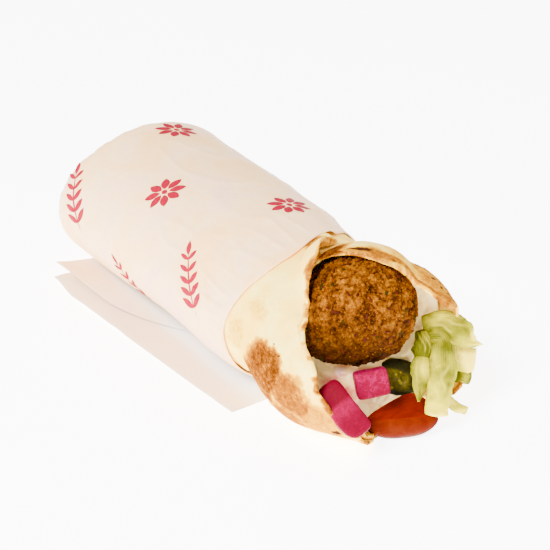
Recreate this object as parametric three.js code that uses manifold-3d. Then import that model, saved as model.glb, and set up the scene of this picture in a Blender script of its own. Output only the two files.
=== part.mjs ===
// Half a falafel pita: two thin flatbreads rolled round a falafel ball, garlic sauce, tomato,
// pickled turnip, pickled cucumber and shredded lettuce, in a paper sleeve whose loose tail
// lies on the table. Millimetres, +Z up. The roll lies along Y with its mouth towards -Y.
// Angles round the roll are in degrees from its top, growing towards +X.
import * as THREE from "three";
import { mergeVertices } from "three/addons/utils/BufferGeometryUtils.js";
import Module from "manifold-3d";

const wasm = await Module();
wasm.setup();

// ---- Driving dimensions -------------------------------------------------------------------

const MOUTH_Y = -85; // the plane of the open end
const BACK_Y = 88; // the closed end of the paper
const NOSE_LENGTH = 40; // stretch behind the mouth over which the roll reaches its full width
const MOUTH_HALF = { width: 30.5, height: 27.5, shift: 2 };
const BODY_HALF = { width: 32.3, height: 28, shift: 0 };
const BACK_HALF = { width: 38.6, height: 27, shift: -1.2 };
const SAG = 1.2; // how far the roll's own weight flattens its underside

const BREAD = 1.7; // thickness of the outer flatbread
const LINING = 1.5; // thickness of the flatbread inside it
const PAPER = 0.5; // thickness of the paper solids
const GAP = 0.35; // clearance between neighbouring pieces
const LAYER_GAP = 0.55; // clearance between bread, its lining, sauce and paper

const FALAFEL = {
  centre: new THREE.Vector3(1.9, -62, 42.1),
  radius: 19.4,
  crag: 0.4,
  bulge: { height: 2.2, towards: new THREE.Vector3(-0.76, 0.05, -0.65).normalize() },
};

// Where the roll swells (or, with a height below 0, draws in): the angle and the distance along
// the roll at its middle, how far it spreads both ways, and its height.
const SWELLINGS = [
  { angle: 33, spread: 31, y: -71, length: 24, height: 10.6 }, // over the falafel's right shoulder
  { angle: -122, spread: 40, y: -64, length: 15, height: 5 }, // sagging out of the paper
  { angle: -122, spread: 40, y: -37, length: 9, height: -2 }, // held in by the paper's edge
  { angle: -112, spread: 42, y: -94, length: 10, height: -5 }, // lip turned in round the turnip
];

const BREAD_START = -28; // angle of both breads' inner ends
const BREAD_END = 376; // angle of the outer bread's free end, on top of the roll
const LINING_END = 291.8;
const SPIRAL = 2.9; // how far the inner ends lie below the free end
const BREAD_BACK_Y = 78;

// How far forward each bread's rim reaches, as pairs of an angle and a distance along the roll.
const OUTER_RIM = [
  [-28, -46], [8, -42], [46, -51], [75, -70], [95, -75], [112, -82], [135, -79], [170, -77],
  [188, -79], [205, -86], [271, -86], [288, -79], [300, -69], [312, -62], [333, -57],
  [348, -51], [357, -41.5], [366, -35], [376, -33],
];
const LINING_RIM = [
  [-28, -50], [-8, -53], [3, -65], [18, -77], [34, -86], [46, -82], [60, -74], [95, -75],
  [112, -81], [135, -78], [170, -76], [190, -77.5], [207, -86], [228, -88], [250, -88],
  [272, -85], [292, -75],
];

const SLEEVE_RIM = [
  [-180, -31], [-105, -32], [-87, -30.5], [-53, -34], [-33, -37.5], [-12, -38], [9, -33], [23, -30],
  [50, -21], [90, -19], [130, -23], [180, -31],
];
const SHOULDER = 7; // rounding of the paper's closed end
const SLEEVE_BASE = PAPER + LAYER_GAP; // height of the bread above the table there
const BREAD_BASE = 0.1; // height of the bread above the table at the mouth

// ---- Small mathematics --------------------------------------------------------------------

const { sin, cos, sqrt, abs, min, max, sign, PI } = Math;
const radians = (degrees) => (degrees * PI) / 180;
const clamp = (t) => min(1, max(0, t));
const smooth = (t) => clamp(t) ** 2 * (3 - 2 * clamp(t));
const mix = (a, b, t) => a + (b - a) * t;
const bell = (x, centre, width) => Math.exp(-(((x - centre) / width) ** 2));

// ---- Closed solids from grids of points ---------------------------------------------------

function geometryOf(points, triangles) {
  const geometry = new THREE.BufferGeometry();
  geometry.setAttribute("position", new THREE.Float32BufferAttribute(points.flatMap((p) => p.toArray()), 3));
  geometry.setIndex(triangles);
  geometry.computeVertexNormals();
  return geometry;
}

// Faces point out when the signed volume is positive.
function facingOut(points, triangles) {
  let volume = 0;
  for (let i = 0; i < triangles.length; i += 3) {
    const [a, b, c] = [0, 1, 2].map((k) => points[triangles[i + k]]);
    volume += a.dot(b.clone().cross(c));
  }
  return geometryOf(points, volume < 0 ? triangles.toReversed() : triangles);
}

// A sheet with two faces: point(u, v, face) for u and v from 0 to 1, face 0 inner and 1 outer.
function sheet(columns, rows, point) {
  const points = [];
  const triangles = [];
  const index = (i, j, face) => (face * (rows + 1) + j) * (columns + 1) + i;
  for (let face = 0; face < 2; face++)
    for (let j = 0; j <= rows; j++)
      for (let i = 0; i <= columns; i++) points.push(point(i / columns, j / rows, face));
  const quad = (a, b, c, d) => triangles.push(a, b, c, a, c, d);
  for (let j = 0; j < rows; j++)
    for (let i = 0; i < columns; i++) {
      quad(index(i, j, 0), index(i, j + 1, 0), index(i + 1, j + 1, 0), index(i + 1, j, 0));
      triangles.push(index(i, j, 1), index(i + 1, j + 1, 1), index(i, j + 1, 1));
      triangles.push(index(i, j, 1), index(i + 1, j, 1), index(i + 1, j + 1, 1));
    }
  for (let i = 0; i < columns; i++) {
    quad(index(i, 0, 0), index(i + 1, 0, 0), index(i + 1, 0, 1), index(i, 0, 1));
    quad(index(i + 1, rows, 0), index(i, rows, 0), index(i, rows, 1), index(i + 1, rows, 1));
  }
  for (let j = 0; j < rows; j++) {
    quad(index(0, j + 1, 0), index(0, j, 0), index(0, j, 1), index(0, j + 1, 1));
    quad(index(columns, j, 0), index(columns, j + 1, 0), index(columns, j + 1, 1), index(columns, j, 1));
  }
  return facingOut(points, triangles);
}

// A closed surface of rings between two poles: point(u, k) for u round ring k, from 1 to rings.
function rings(columns, count, point, firstPole, lastPole) {
  const points = [firstPole];
  const triangles = [];
  const index = (i, k) => 1 + (k - 1) * columns + (i % columns);
  for (let k = 1; k <= count; k++) for (let i = 0; i < columns; i++) points.push(point(i / columns, k));
  points.push(lastPole);
  const last = points.length - 1;
  for (let i = 0; i < columns; i++) {
    triangles.push(0, index(i + 1, 1), index(i, 1));
    for (let k = 1; k < count; k++) {
      triangles.push(index(i, k), index(i + 1, k), index(i + 1, k + 1));
      triangles.push(index(i, k), index(i + 1, k + 1), index(i, k + 1));
    }
    triangles.push(last, index(i, count), index(i + 1, count));
  }
  return facingOut(points, triangles);
}

// ---- Joining and cutting ------------------------------------------------------------------

function solidOf(geometry) {
  const bare = geometry.clone();
  bare.deleteAttribute("normal");
  bare.deleteAttribute("uv");
  const merged = mergeVertices(bare, 1e-4);
  const triVerts = new Uint32Array(merged.index.array);
  return new wasm.Manifold(
    new wasm.Mesh({ numProp: 3, vertProperties: merged.attributes.position.array, triVerts }),
  );
}

function geometryFrom(solid) {
  const mesh = solid.getMesh();
  const geometry = new THREE.BufferGeometry();
  geometry.setAttribute("position", new THREE.BufferAttribute(new Float32Array(mesh.vertProperties), 3));
  geometry.setIndex([...mesh.triVerts]);
  geometry.computeVertexNormals();
  return geometry;
}

// The same shape with its surface moved out by a distance, to cut room for a piece.
function grown(geometry, distance) {
  const wider = geometry.clone();
  const { position, normal } = wider.attributes;
  for (let i = 0; i < position.count; i++)
    position.setXYZ(
      i,
      position.getX(i) + distance * normal.getX(i),
      position.getY(i) + distance * normal.getY(i),
      position.getZ(i) + distance * normal.getZ(i),
    );
  return wider;
}

// The first geometry less the others; loose scraps are dropped.
function fittedRound(geometry, others) {
  let left = solidOf(geometry);
  for (const other of others) left = left.subtract(solidOf(other));
  const [largest] = left.decompose().sort((a, b) => b.volume() - a.volume());
  return geometryFrom(largest.simplify(0.02));
}

// ---- The roll's own form ------------------------------------------------------------------

// Half width, half height, sideways shift and height above the table at a place along the roll.
function section(y) {
  const along = clamp((y - MOUTH_Y) / (BACK_Y - MOUTH_Y));
  const full = smooth((y - MOUTH_Y) / NOSE_LENGTH);
  const of = (name) => mix(MOUTH_HALF[name], mix(BODY_HALF[name], BACK_HALF[name], along), full);
  const base = mix(BREAD_BASE, SLEEVE_BASE, smooth((y + 62) / 20));
  return { width: of("width"), height: of("height"), shift: of("shift"), base };
}

// The shorter way round from one angle to another, from -180 to 180.
const turnFrom = (from, angle) => ((((angle - from + 180) % 360) + 360) % 360) - 180;

// Soft waves that the filling makes in the roll, and its swellings.
function swelling(angle, y) {
  const wave = 0.4 * sin(2 * radians(angle) + 0.045 * y + 1) + 0.35 * sin(3 * radians(angle) - 0.07 * y);
  const heights = SWELLINGS.map(
    (one) => one.height * bell(turnFrom(one.angle, angle), 0, one.spread) * bell(y, one.y, one.length),
  );
  return heights.reduce((sum, height) => sum + height, wave);
}

// A point of the roll's surface, moved out by offset and kept at least keepOut from the
// falafel's centre. Its underside is flat, at the offset flatOffset.
function rollPoint(angle, y, offset, keepOut = 0, flatOffset = offset) {
  const { width, height, shift, base } = section(y);
  const a = radians(angle);
  const out = offset + swelling(angle, y);
  const z = base + height - SAG + (height + out) * cos(a);
  const p = new THREE.Vector3(shift + (width + out) * sin(a), y, max(z, base - flatOffset));
  if (!keepOut) return p;
  const from = p.sub(FALAFEL.centre);
  const distance = from.length();
  const pushed = 0.5 * (distance + keepOut + sqrt((distance - keepOut) ** 2 + 1.5));
  return FALAFEL.centre.clone().addScaledVector(from, pushed / distance);
}

// The breads wind inwards from the outer one's free end on top to their inner ends below it.
const spiral = (angle) => -SPIRAL * (1 - smooth((angle - BREAD_START) / 178));

const LINING_OUTSIDE = -BREAD - LAYER_GAP; // offset of the lining's outer face
const FALAFEL_ROOM = FALAFEL.radius + 3.2; // from the falafel's centre to the bread on it
const LINED_ROOM = FALAFEL_ROOM + LINING - LINING_OUTSIDE + 0.3; // and to the bread's on that

// The outer bread's free end lies on the falafel first, and on both inner ends near the top.
function outerRoom(angle) {
  const bare = FALAFEL_ROOM + BREAD;
  const lined = mix(LINED_ROOM, bare, smooth((angle - 250) / 60));
  return lined + (LINED_ROOM + BREAD + LAYER_GAP - bare) * smooth((angle - 318) / 40);
}

// A value between stations, each an angle and a value, with its corners rounded off.
function between(stations, angle) {
  const at = (x) => {
    const k = max(1, min(stations.length - 1, stations.findIndex(([a]) => a >= x)));
    const [[a0, v0], [a1, v1]] = [stations[k - 1], stations[k]];
    return mix(v0, v1, clamp((x - a0) / (a1 - a0)));
  };
  const last = stations[stations.length - 1][0];
  return [-6, -3, 0, 3, 6].reduce((sum, d) => sum + at(min(angle + d, last)), 0) / 5;
}

const torn = (angle) => 0.5 * sin(radians(11 * angle)) + 0.4 * sin(radians(17 * angle + 40));

// Places of a bread's rows of points: close together from its rim to where the paper begins,
// wide apart from there to the back.
const MOUTH_ROWS = 7;
const BREAD_ROWS = 12;
function breadRowY(rim, row) {
  const covered = max(-38, rim + 6);
  if (row <= MOUTH_ROWS) return mix(rim, covered, row / MOUTH_ROWS);
  return mix(covered, BREAD_BACK_Y, (row - MOUTH_ROWS) / (BREAD_ROWS - MOUTH_ROWS));
}

// A bread or, with some room, a thicker copy of it that cuts clearance for a neighbour.
function flatbread({ columns, lastAngle, rimY, outside, thickness, outerRadius }, room = 0) {
  return sheet(columns, BREAD_ROWS, (u, v, face) => {
    const angle = mix(BREAD_START, lastAngle, u);
    const depth = face ? room : -thickness - room;
    const y = breadRowY(rimY(angle) - room, Math.round(v * BREAD_ROWS));
    return rollPoint(angle, y, outside + spiral(angle) + depth, outerRadius(angle) + depth);
  });
}

const OUTER_BREAD = {
  columns: 48,
  lastAngle: BREAD_END,
  rimY: (angle) => between(OUTER_RIM, angle) + torn(angle),
  outside: 0,
  thickness: BREAD,
  outerRadius: outerRoom,
};
const LINING_BREAD = {
  columns: 38,
  lastAngle: LINING_END,
  rimY: (angle) => between(LINING_RIM, angle) + torn(angle + 90),
  outside: LINING_OUTSIDE,
  thickness: LINING,
  outerRadius: () => FALAFEL_ROOM + LINING,
};

// ---- Paper sleeve, its tail and the second sheet's edge -----------------------------------

const PLEATS = 10; // folds that gather the paper's closed end
const PLEAT_HEIGHT = 1.2;
const END_HOLLOW = 3; // how far the middle of the closed end is pushed in
const LOOSE = { angle: -140, spread: 34, y: -31, length: 14, height: 2.6 }; // stands off the bread
const SLEEVE_ROWS = 6;
const SHOULDER_ROWS = 2;
const END_ROWS = 2;

// Outer (face 1) or inner (face 0) side of the sleeve, row by row from its front edge to the
// rim of the closed end, over the shoulder and in towards the middle of the end.
function sleevePoint(angle, row, face) {
  const depth = face ? 0 : -PAPER;
  const outside = LAYER_GAP + PAPER;
  const straight = BACK_Y - SHOULDER;
  if (row <= SLEEVE_ROWS) {
    const from = turnFrom(0, angle);
    const y = mix(between(SLEEVE_RIM, from), straight, row / SLEEVE_ROWS);
    const off = bell(turnFrom(LOOSE.angle, angle), 0, LOOSE.spread) * bell(y, LOOSE.y, LOOSE.length);
    const room = LINED_ROOM + BREAD + LAYER_GAP + outside + depth;
    return rollPoint(angle, y, outside + depth + LOOSE.height * off, room, outside + depth);
  }
  const edge = rollPoint(angle, straight, outside);
  const { base, height, shift } = section(straight);
  const centre = new THREE.Vector3(shift, straight, base + height - SAG);
  const radius = edge.distanceTo(centre);
  const turned = radians(90 * clamp((row - SLEEVE_ROWS) / SHOULDER_ROWS));
  const inward = clamp((row - SLEEVE_ROWS - SHOULDER_ROWS) / END_ROWS);
  const rounding = SHOULDER * (1 - cos(turned)) - depth * cos(turned);
  const pleat = PLEAT_HEIGHT * sin(radians(PLEATS * angle)) * inward * (1 - inward) * 4;
  const p = centre.clone().lerp(edge, (1 - rounding / radius) * (1 - 0.9 * inward));
  p.y = straight + (SHOULDER + depth) * sin(turned) - END_HOLLOW * smooth(inward) + pleat;
  return p;
}

function sleeve() {
  const rows = SLEEVE_ROWS + SHOULDER_ROWS + END_ROWS;
  const middle = (face) => {
    const { base, height, shift } = section(BACK_Y);
    return new THREE.Vector3(shift, sleevePoint(0, rows, face).y - 0.2, base + height - SAG);
  };
  const around = (u, k) =>
    k <= rows + 1 ? sleevePoint(360 * u, rows + 1 - k, 0) : sleevePoint(360 * u, k - rows - 2, 1);
  return rings(40, 2 * (rows + 1), around, middle(0), middle(1));
}

const TAIL = {
  frontX: -37.3,
  backX: -46.7,
  innerX: 5,
  frontY: -40,
  backY: 78.6,
  thick: PAPER + 0.1,
  curl: 0.9, // how far its side rises off the table
};
const tailCurl = (x) => TAIL.curl * clamp((-30 - x) / 12) ** 2;

// The sheet's loose end, which comes out flat from under the roll.
function tail() {
  return sheet(6, 8, (u, v, face) => {
    const x = mix(TAIL.innerX, mix(TAIL.frontX, TAIL.backX, v), u);
    const z = tailCurl(x) * mix(0.3, 1, v) + (face ? TAIL.thick : 0);
    return new THREE.Vector3(x, mix(TAIL.frontY, TAIL.backY, v), z);
  });
}

function paperSleeve() {
  return geometryFrom(solidOf(sleeve()).add(solidOf(tail())).simplify(0.002));
}

const SECOND = {
  innerX: -18.5,
  frontX: -19.5,
  frontY: 8.5,
  backY: 80,
  cornerWide: 19.5,
  cornerLong: 44.5,
  splay: 4.5, // how much wider it is at its back than behind its corner
  thick: PAPER - 0.1,
  arch: 1.4, // how far its middle stands off the tail
  lift: 3, // how far its back corner stands up
  skew: 3, // and reaches back
};

// The second sheet's edge, which lies on the tail: straight along its side, with a rounded
// front corner that runs back under the roll.
function secondSheet() {
  const corner = SECOND.frontY + SECOND.cornerLong;
  return sheet(6, 9, (u, v, face) => {
    const y = mix(SECOND.frontY, SECOND.backY, v);
    const bend = 1 - clamp((corner - y) / SECOND.cornerLong) ** 1.6;
    const splay = SECOND.splay * clamp((y - corner) / (SECOND.backY - corner));
    const x = mix(SECOND.innerX, SECOND.frontX - SECOND.cornerWide * bend - splay, u);
    const arch = SECOND.arch * sin(PI * u) * smooth(v * 2) * smooth((-x - 20) / 8);
    const lift = SECOND.lift * u ** 3 * smooth((v - 0.55) / 0.45);
    const skew = SECOND.skew * u * smooth((v - 0.6) / 0.4);
    const z = TAIL.thick + GAP + tailCurl(x) + arch + lift;
    return new THREE.Vector3(x, y + skew, z + (face ? SECOND.thick : 0));
  });
}

// ---- Falafel ball -------------------------------------------------------------------------

// Crags of the fried crust: three layers of rounded bumps in set directions.
function cragHeight(d) {
  const coarse = sin(3.1 * d.x + 1.3) * sin(3.7 * d.y + 0.4) * sin(3.3 * d.z + 2.1);
  const middle = sin(9.3 * d.x + 4 * d.y) * sin(8.7 * d.y - 5 * d.z + 1) * sin(9.9 * d.z + 3 * d.x);
  const fine = sin(21 * d.x + 9 * d.z) * sin(19 * d.y + 7 * d.x + 2) * sin(23 * d.z - 8 * d.y);
  return coarse + 0.7 * middle + 0.45 * fine;
}

// The ball's form, with its crust's crags or, grown by some room, without them.
function falafelForm(detail, crag, room) {
  const { radius, bulge, centre } = FALAFEL;
  const bare = new THREE.IcosahedronGeometry(1, detail).deleteAttribute("uv").deleteAttribute("normal");
  const ball = mergeVertices(bare);
  const { position } = ball.attributes;
  const d = new THREE.Vector3();
  for (let i = 0; i < position.count; i++) {
    d.fromBufferAttribute(position, i).normalize();
    const swollen = bulge.height * max(0, d.dot(bulge.towards)) ** 3;
    d.multiplyScalar(radius + room + swollen + crag * cragHeight(d)).add(centre);
    position.setXYZ(i, d.x, d.y, d.z);
  }
  ball.computeVertexNormals();
  return ball;
}

const CRUST_ROOM = 1.6; // between the ball and the sauce, clear of the crags
const falafelBall = () => falafelForm(8, FALAFEL.crag, 0);
const falafelRoom = () => falafelForm(4, 0, CRUST_ROOM);

// ---- Filling pieces -----------------------------------------------------------------------

// Right-handed axes whose third points along facing and whose first is as near along as can be.
function axesFor(facing, along) {
  const third = new THREE.Vector3(...facing).normalize();
  const first = new THREE.Vector3(...along);
  first.addScaledVector(third, -first.dot(third)).normalize();
  return [first, third.clone().cross(first), third];
}

// A cut piece with rounded edges. size is its half length, half width and half thickness;
// outline and edge say how square its face and its edges are, from 2, round, to 8, sharp;
// bend bows it across its length, and taper narrows its far end.
function chunk({ centre, facing, along, size, outline, edge, bend = 0, taper = 0, columns = 20 }) {
  const axes = axesFor(facing, along);
  const round = (value, power) => sign(value) * abs(value) ** (2 / power);
  const count = 7;
  const place = (x, y, z) => {
    const narrow = 1 - taper * clamp(x / size[0]);
    const bowed = y * narrow + bend * (1 - (x / size[0]) ** 2);
    return new THREE.Vector3(...centre)
      .addScaledVector(axes[0], x)
      .addScaledVector(axes[1], bowed)
      .addScaledVector(axes[2], z);
  };
  const point = (u, k) => {
    const tilt = radians(-90 + (180 * k) / (count + 1));
    const ring = round(cos(tilt), edge);
    const turn = 2 * PI * u;
    return place(
      size[0] * ring * round(cos(turn), outline),
      size[1] * ring * round(sin(turn), outline),
      size[2] * round(sin(tilt), edge),
    );
  };
  return rings(columns, count, point, place(0, 0, -size[2]), place(0, 0, size[2]));
}

const turnipCube = () =>
  chunk({
    centre: [-5.4, -79.2, 23.2],
    facing: [-0.42, -0.78, 0.46],
    along: [1, -0.42, 0.2],
    size: [6.2, 5.4, 4.6],
    outline: 7,
    edge: 6,
  });

const turnipSlice = () =>
  chunk({
    centre: [-17.2, -84.2, 20.6],
    facing: [-0.42, -0.66, 0.62],
    along: [0.47, -0.2, -0.86],
    size: [12.2, 4.7, 3.5],
    outline: 3,
    edge: 3.4,
    bend: -1.6,
    taper: 0.1,
  });

const pickle = () =>
  chunk({
    centre: [9.6, -72.6, 17],
    facing: [-0.45, -0.7, 0.5],
    along: [1, -0.5, 0],
    size: [7.4, 6.2, 2],
    outline: 2.2,
    edge: 4,
    columns: 24,
  });

const TOMATO = {
  centre: [6.2, -83, 7.6],
  out: [0.02, -0.9, 0.44],
  along: [1, -0.06, 0.02],
  halfLength: 13.8,
  halfHeight: 7,
  depth: 10,
  bulge: 2.6,
};

// A tomato wedge: rounded skin outside, two flat cuts that meet at its inner edge.
function tomatoWedge() {
  const [along, up, out] = axesFor(TOMATO.out, TOMATO.along);
  const inward = new THREE.Vector3(0, 0.99, 0.12);
  const stations = 13;
  const skin = 8;
  const at = (t) => new THREE.Vector3(...TOMATO.centre).addScaledVector(along, TOMATO.halfLength * t);
  const point = (u, k) => {
    const t = -cos((PI * k) / (stations + 1));
    const full = sqrt(1 - t * t);
    const p = at(t);
    const place = u * (skin + 4);
    if (place <= skin) {
      const turn = mix(-1, 1, place / skin);
      return p
        .addScaledVector(up, TOMATO.halfHeight * full ** 0.8 * sin((turn * PI) / 2))
        .addScaledVector(out, TOMATO.bulge * full * cos((turn * PI) / 2));
    }
    const into = 1 - abs(place - skin - 2) / 2;
    const side = place < skin + 2 ? 1 : -1;
    return p
      .addScaledVector(up, side * TOMATO.halfHeight * full ** 0.8 * (1 - into))
      .addScaledVector(inward, TOMATO.depth * full * into + 0.2 * full);
  };
  return rings(skin + 4, stations, point, at(-1), at(1));
}

// ---- Lettuce shreds -----------------------------------------------------------------------

// Each shred follows a path; widths are at its root, middle and tip; cup curls it lengthwise.
// Later ones make way for earlier ones where they cross.
const SHREDS = {
  lettuce_top: {
    path: [[20.6, -73.4, 33], [22.4, -77, 35], [25.4, -81.4, 35.2], [30, -86, 32.8], [37, -89, 28.4]],
    widths: [4.5, 13.6, 3],
    cup: 2.2,
  },
  lettuce_fold: {
    path: [[16.6, -75.2, 32.8], [14.6, -78.6, 28.6], [13.2, -80.2, 23]],
    widths: [5, 7, 5],
    cup: 1,
  },
  lettuce_front: {
    path: [[14.6, -71, 27], [18.8, -81.6, 30], [19.2, -89, 24.6], [16.6, -92, 14], [13.6, -93, 7]],
    widths: [8.5, 10.5, 8.6],
    cup: 2.2,
  },
  lettuce_point: {
    path: [[10.6, -71, 23], [12.2, -81, 26.4], [10.6, -86, 22.6], [8.4, -88.6, 15]],
    widths: [4.6, 6, 0.8],
    cup: 0.6,
  },
  lettuce_square: {
    path: [[17.4, -71, 24.6], [22.6, -79.4, 23.8], [27.4, -86, 22.4], [32.4, -88.4, 21]],
    widths: [7, 9, 8.4],
    cup: 0.8,
  },
  lettuce_low: {
    path: [[20, -71, 17.4], [24.6, -83.6, 16.6], [28.2, -87.6, 15], [31, -88.4, 13.6]],
    widths: [4.6, 5.6, 5],
    cup: 0.5,
  },
  lettuce_floor: {
    path: [[15.6, -71, 14], [20.6, -80.4, 12.2], [25.4, -87.2, 5.8], [30.6, -89.4, 2.6]],
    widths: [3, 4.2, 3],
    cup: 0.4,
  },
};
const SHRED_FACING = [-0.46, -0.72, 0.5]; // most shreds turn their broad side this way
const SHRED_THICKNESS = 1;
const SHRED_WAVE = 0.35;

function shred({ path, widths, cup }) {
  const curve = new THREE.CatmullRomCurve3(path.map((p) => new THREE.Vector3(...p)));
  const facing = new THREE.Vector3(...SHRED_FACING).normalize();
  return sheet(4, 8, (u, v, face) => {
    const along = curve.getTangent(v);
    const across = along.clone().cross(facing).normalize();
    const normal = across.clone().cross(along).normalize();
    const width = mix(mix(widths[0], widths[1], smooth(v * 2)), widths[2], smooth(v * 2 - 1));
    const side = 2 * u - 1;
    const curl = -cup * side ** 2 + SHRED_WAVE * sin(9 * v + 3 * side);
    return curve
      .getPoint(v)
      .addScaledVector(across, (width / 2) * side)
      .addScaledVector(normal, curl + (face ? 0.5 : -0.5) * SHRED_THICKNESS);
  });
}

// ---- Garlic sauce -------------------------------------------------------------------------

const SAUCE = { frontY: -74, backY: 74, leanFrom: 35, lean: 36, hollow: 4, middle: [1, 27] };

// Offset of the sauce's side, just inside the lining or, where that is wound double, inside both.
function sauceOutside(angle) {
  const from = turnFrom(0, angle);
  const wound = from < BREAD_START ? 1 - smooth((BREAD_START - from) / 40) : -spiral(from) / SPIRAL;
  return LINING_OUTSIDE - LINING - 1.6 * LAYER_GAP - SPIRAL * (from > 0 ? smooth((178 - from) / 150) : wound);
}

// The face at the mouth leans back at its top, and is hollowed where the falafel sits in it.
function sauceFaceY(x, z) {
  const { centre, radius } = FALAFEL;
  const beside = Math.hypot(x - centre.x, z - centre.z) - radius;
  const lean = SAUCE.lean * smooth((z - SAUCE.leanFrom) / 16);
  return SAUCE.frontY + max(lean, SAUCE.hollow * smooth(1 - beside / 9)) + 0.8 * sin(0.35 * x) * cos(0.3 * z);
}

// The sauce, and the filling that it carries, fill the roll from the mouth to the closed end.
function sauceBody() {
  const faceRings = 5;
  const sideRows = [-58, -50, -42, -32, 0, 38, SAUCE.backY];
  const [x, z] = SAUCE.middle;
  const onFace = (p) => p.setY(sauceFaceY(p.x, p.z));
  const rimOf = (angle) => {
    let p = rollPoint(angle, SAUCE.frontY, sauceOutside(angle));
    for (let pass = 0; pass < 4; pass++) p = rollPoint(angle, onFace(p).y, sauceOutside(angle));
    return p;
  };
  const point = (u, k) => {
    const rim = rimOf(360 * u);
    if (k <= faceRings) return onFace(new THREE.Vector3(x, 0, z).lerp(rim.setY(0), k / faceRings));
    const y = max(sideRows[k - faceRings - 1], rim.y + 4 * (k - faceRings));
    return rollPoint(360 * u, y, sauceOutside(360 * u));
  };
  const first = onFace(new THREE.Vector3(x, 0, z));
  return rings(36, faceRings + sideRows.length, point, first, new THREE.Vector3(x, SAUCE.backY, z));
}

// ---- The whole --------------------------------------------------------------------------

const LOOKS = {
  bread: { color: 0xf3dcae, roughness: 0.85 },
  paper: { color: 0xf2e4d8, roughness: 0.6 },
  falafel: { color: 0x9a5a1c, roughness: 0.9 },
  sauce: { color: 0xf0e2c6, roughness: 0.35 },
  turnip: { color: 0xd4145a, roughness: 0.3 },
  pickle: { color: 0x55601a, roughness: 0.35 },
  tomato: { color: 0xc63210, roughness: 0.25 },
  lettuce: { color: 0xc6d36c, roughness: 0.4 },
};

function mesh(name, geometry, look) {
  const made = new THREE.Mesh(geometry, new THREE.MeshStandardMaterial({ metalness: 0, ...LOOKS[look] }));
  made.name = name;
  return made;
}

const breadRoom = [flatbread(OUTER_BREAD, GAP), flatbread(LINING_BREAD, GAP)];
const filling = [
  mesh("turnip_cube", turnipCube(), "turnip"),
  mesh("turnip_slice", fittedRound(turnipSlice(), breadRoom), "turnip"),
  mesh("pickle_slice", pickle(), "pickle"),
  mesh("tomato_wedge", tomatoWedge(), "tomato"),
];
const roomFor = (pieces, gap) => pieces.map((piece) => grown(piece.geometry, gap));
for (const [name, one] of Object.entries(SHREDS)) {
  const fitted = fittedRound(shred(one), [...breadRoom, ...roomFor(filling, GAP)]);
  filling.push(mesh(name, fitted, "lettuce"));
}
const sauce = fittedRound(sauceBody(), [falafelRoom(), ...roomFor(filling, 1.6 * GAP)]);

const roll = new THREE.Group();
roll.add(
  mesh("bread_outer", flatbread(OUTER_BREAD), "bread"),
  mesh("bread_lining", flatbread(LINING_BREAD), "bread"),
  mesh("garlic_sauce", sauce, "sauce"),
  mesh("paper_sleeve", paperSleeve(), "paper"),
  mesh("paper_second_sheet", secondSheet(), "paper"),
  mesh("falafel", falafelBall(), "falafel"),
  ...filling,
);

// The origin is under the middle of the whole, on the table.
const box = new THREE.Box3().setFromObject(roll, true);
const middle = box.getCenter(new THREE.Vector3());
roll.position.set(-middle.x, -middle.y, -box.min.z);

const part = new THREE.Group();
part.add(roll);

export default part;
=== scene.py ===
"""Looks of half a falafel pita: bread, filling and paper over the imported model.

Lengths are in millimetres and angles in degrees until a mesh is made. Places are given in the
roll's own axes: X to the right seen from the mouth, Y back along the roll, Z up from the table.
Angles round the roll count from its top towards +X.
"""

import bpy
import numpy as np
from mathutils import Matrix, Vector


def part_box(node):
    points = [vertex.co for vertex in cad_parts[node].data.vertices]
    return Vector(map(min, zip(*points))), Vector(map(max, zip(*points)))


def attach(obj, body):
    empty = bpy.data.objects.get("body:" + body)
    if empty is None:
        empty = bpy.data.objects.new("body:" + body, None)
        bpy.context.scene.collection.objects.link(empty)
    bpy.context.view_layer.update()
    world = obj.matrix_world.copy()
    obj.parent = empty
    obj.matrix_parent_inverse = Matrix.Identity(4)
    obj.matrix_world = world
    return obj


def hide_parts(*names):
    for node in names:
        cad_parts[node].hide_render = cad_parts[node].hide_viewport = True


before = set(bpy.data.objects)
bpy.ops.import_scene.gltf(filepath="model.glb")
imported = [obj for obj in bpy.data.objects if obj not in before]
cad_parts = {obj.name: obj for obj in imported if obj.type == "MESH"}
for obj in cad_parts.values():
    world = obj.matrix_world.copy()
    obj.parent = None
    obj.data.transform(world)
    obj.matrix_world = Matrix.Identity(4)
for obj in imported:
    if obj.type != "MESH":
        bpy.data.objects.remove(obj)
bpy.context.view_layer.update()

# ---- The roll's driving sizes ------------------------------------------------------------

MOUTH_Y, BACK_Y, NOSE_LENGTH, SAG = -85.0, 88.0, 40.0, 1.2
# Half width, half height and sideways shift at the mouth, behind it and at the back.
MOUTH_HALF = (30.5, 27.5, 2.0)
BODY_HALF = (32.3, 28.0, 0.0)
BACK_HALF = (38.6, 27.0, -1.2)
BREAD, LINING, PAPER, LAYER_GAP = 1.7, 1.5, 0.5, 0.55
SLEEVE_BASE, BREAD_BASE = PAPER + LAYER_GAP, 0.1
BALL_CENTRE = np.array([1.9, -62.0, 42.1])
BALL_RADIUS = 19.4
BALL_BULGE, BALL_BULGE_TOWARDS = 5.4, (-0.85, 0.345, -0.37)

# Where the roll swells or draws in: angle, spread, place along it, length, height.
SWELLINGS = (
    (33, 31, -71, 24, 10.6),
    (-122, 40, -64, 15, 5.0),
    (-122, 40, -37, 9, -2.0),
    (-112, 42, -94, 10, -5.0),
)
BREAD_START, BREAD_END, LINING_END = -28.0, 376.0, 291.8
BREAD_BACK_Y = 78.0
SPIRAL, SPIRAL_TURN = 2.9, 178.0  # how far in the outer bread starts, and how it winds out
ON_PAPER_FROM, ON_PAPER_LENGTH = -62.0, 20.0  # where the roll rises onto its paper
PUSH_BLEND = 1.5  # how softly the falafel pushes the breads outwards

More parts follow.
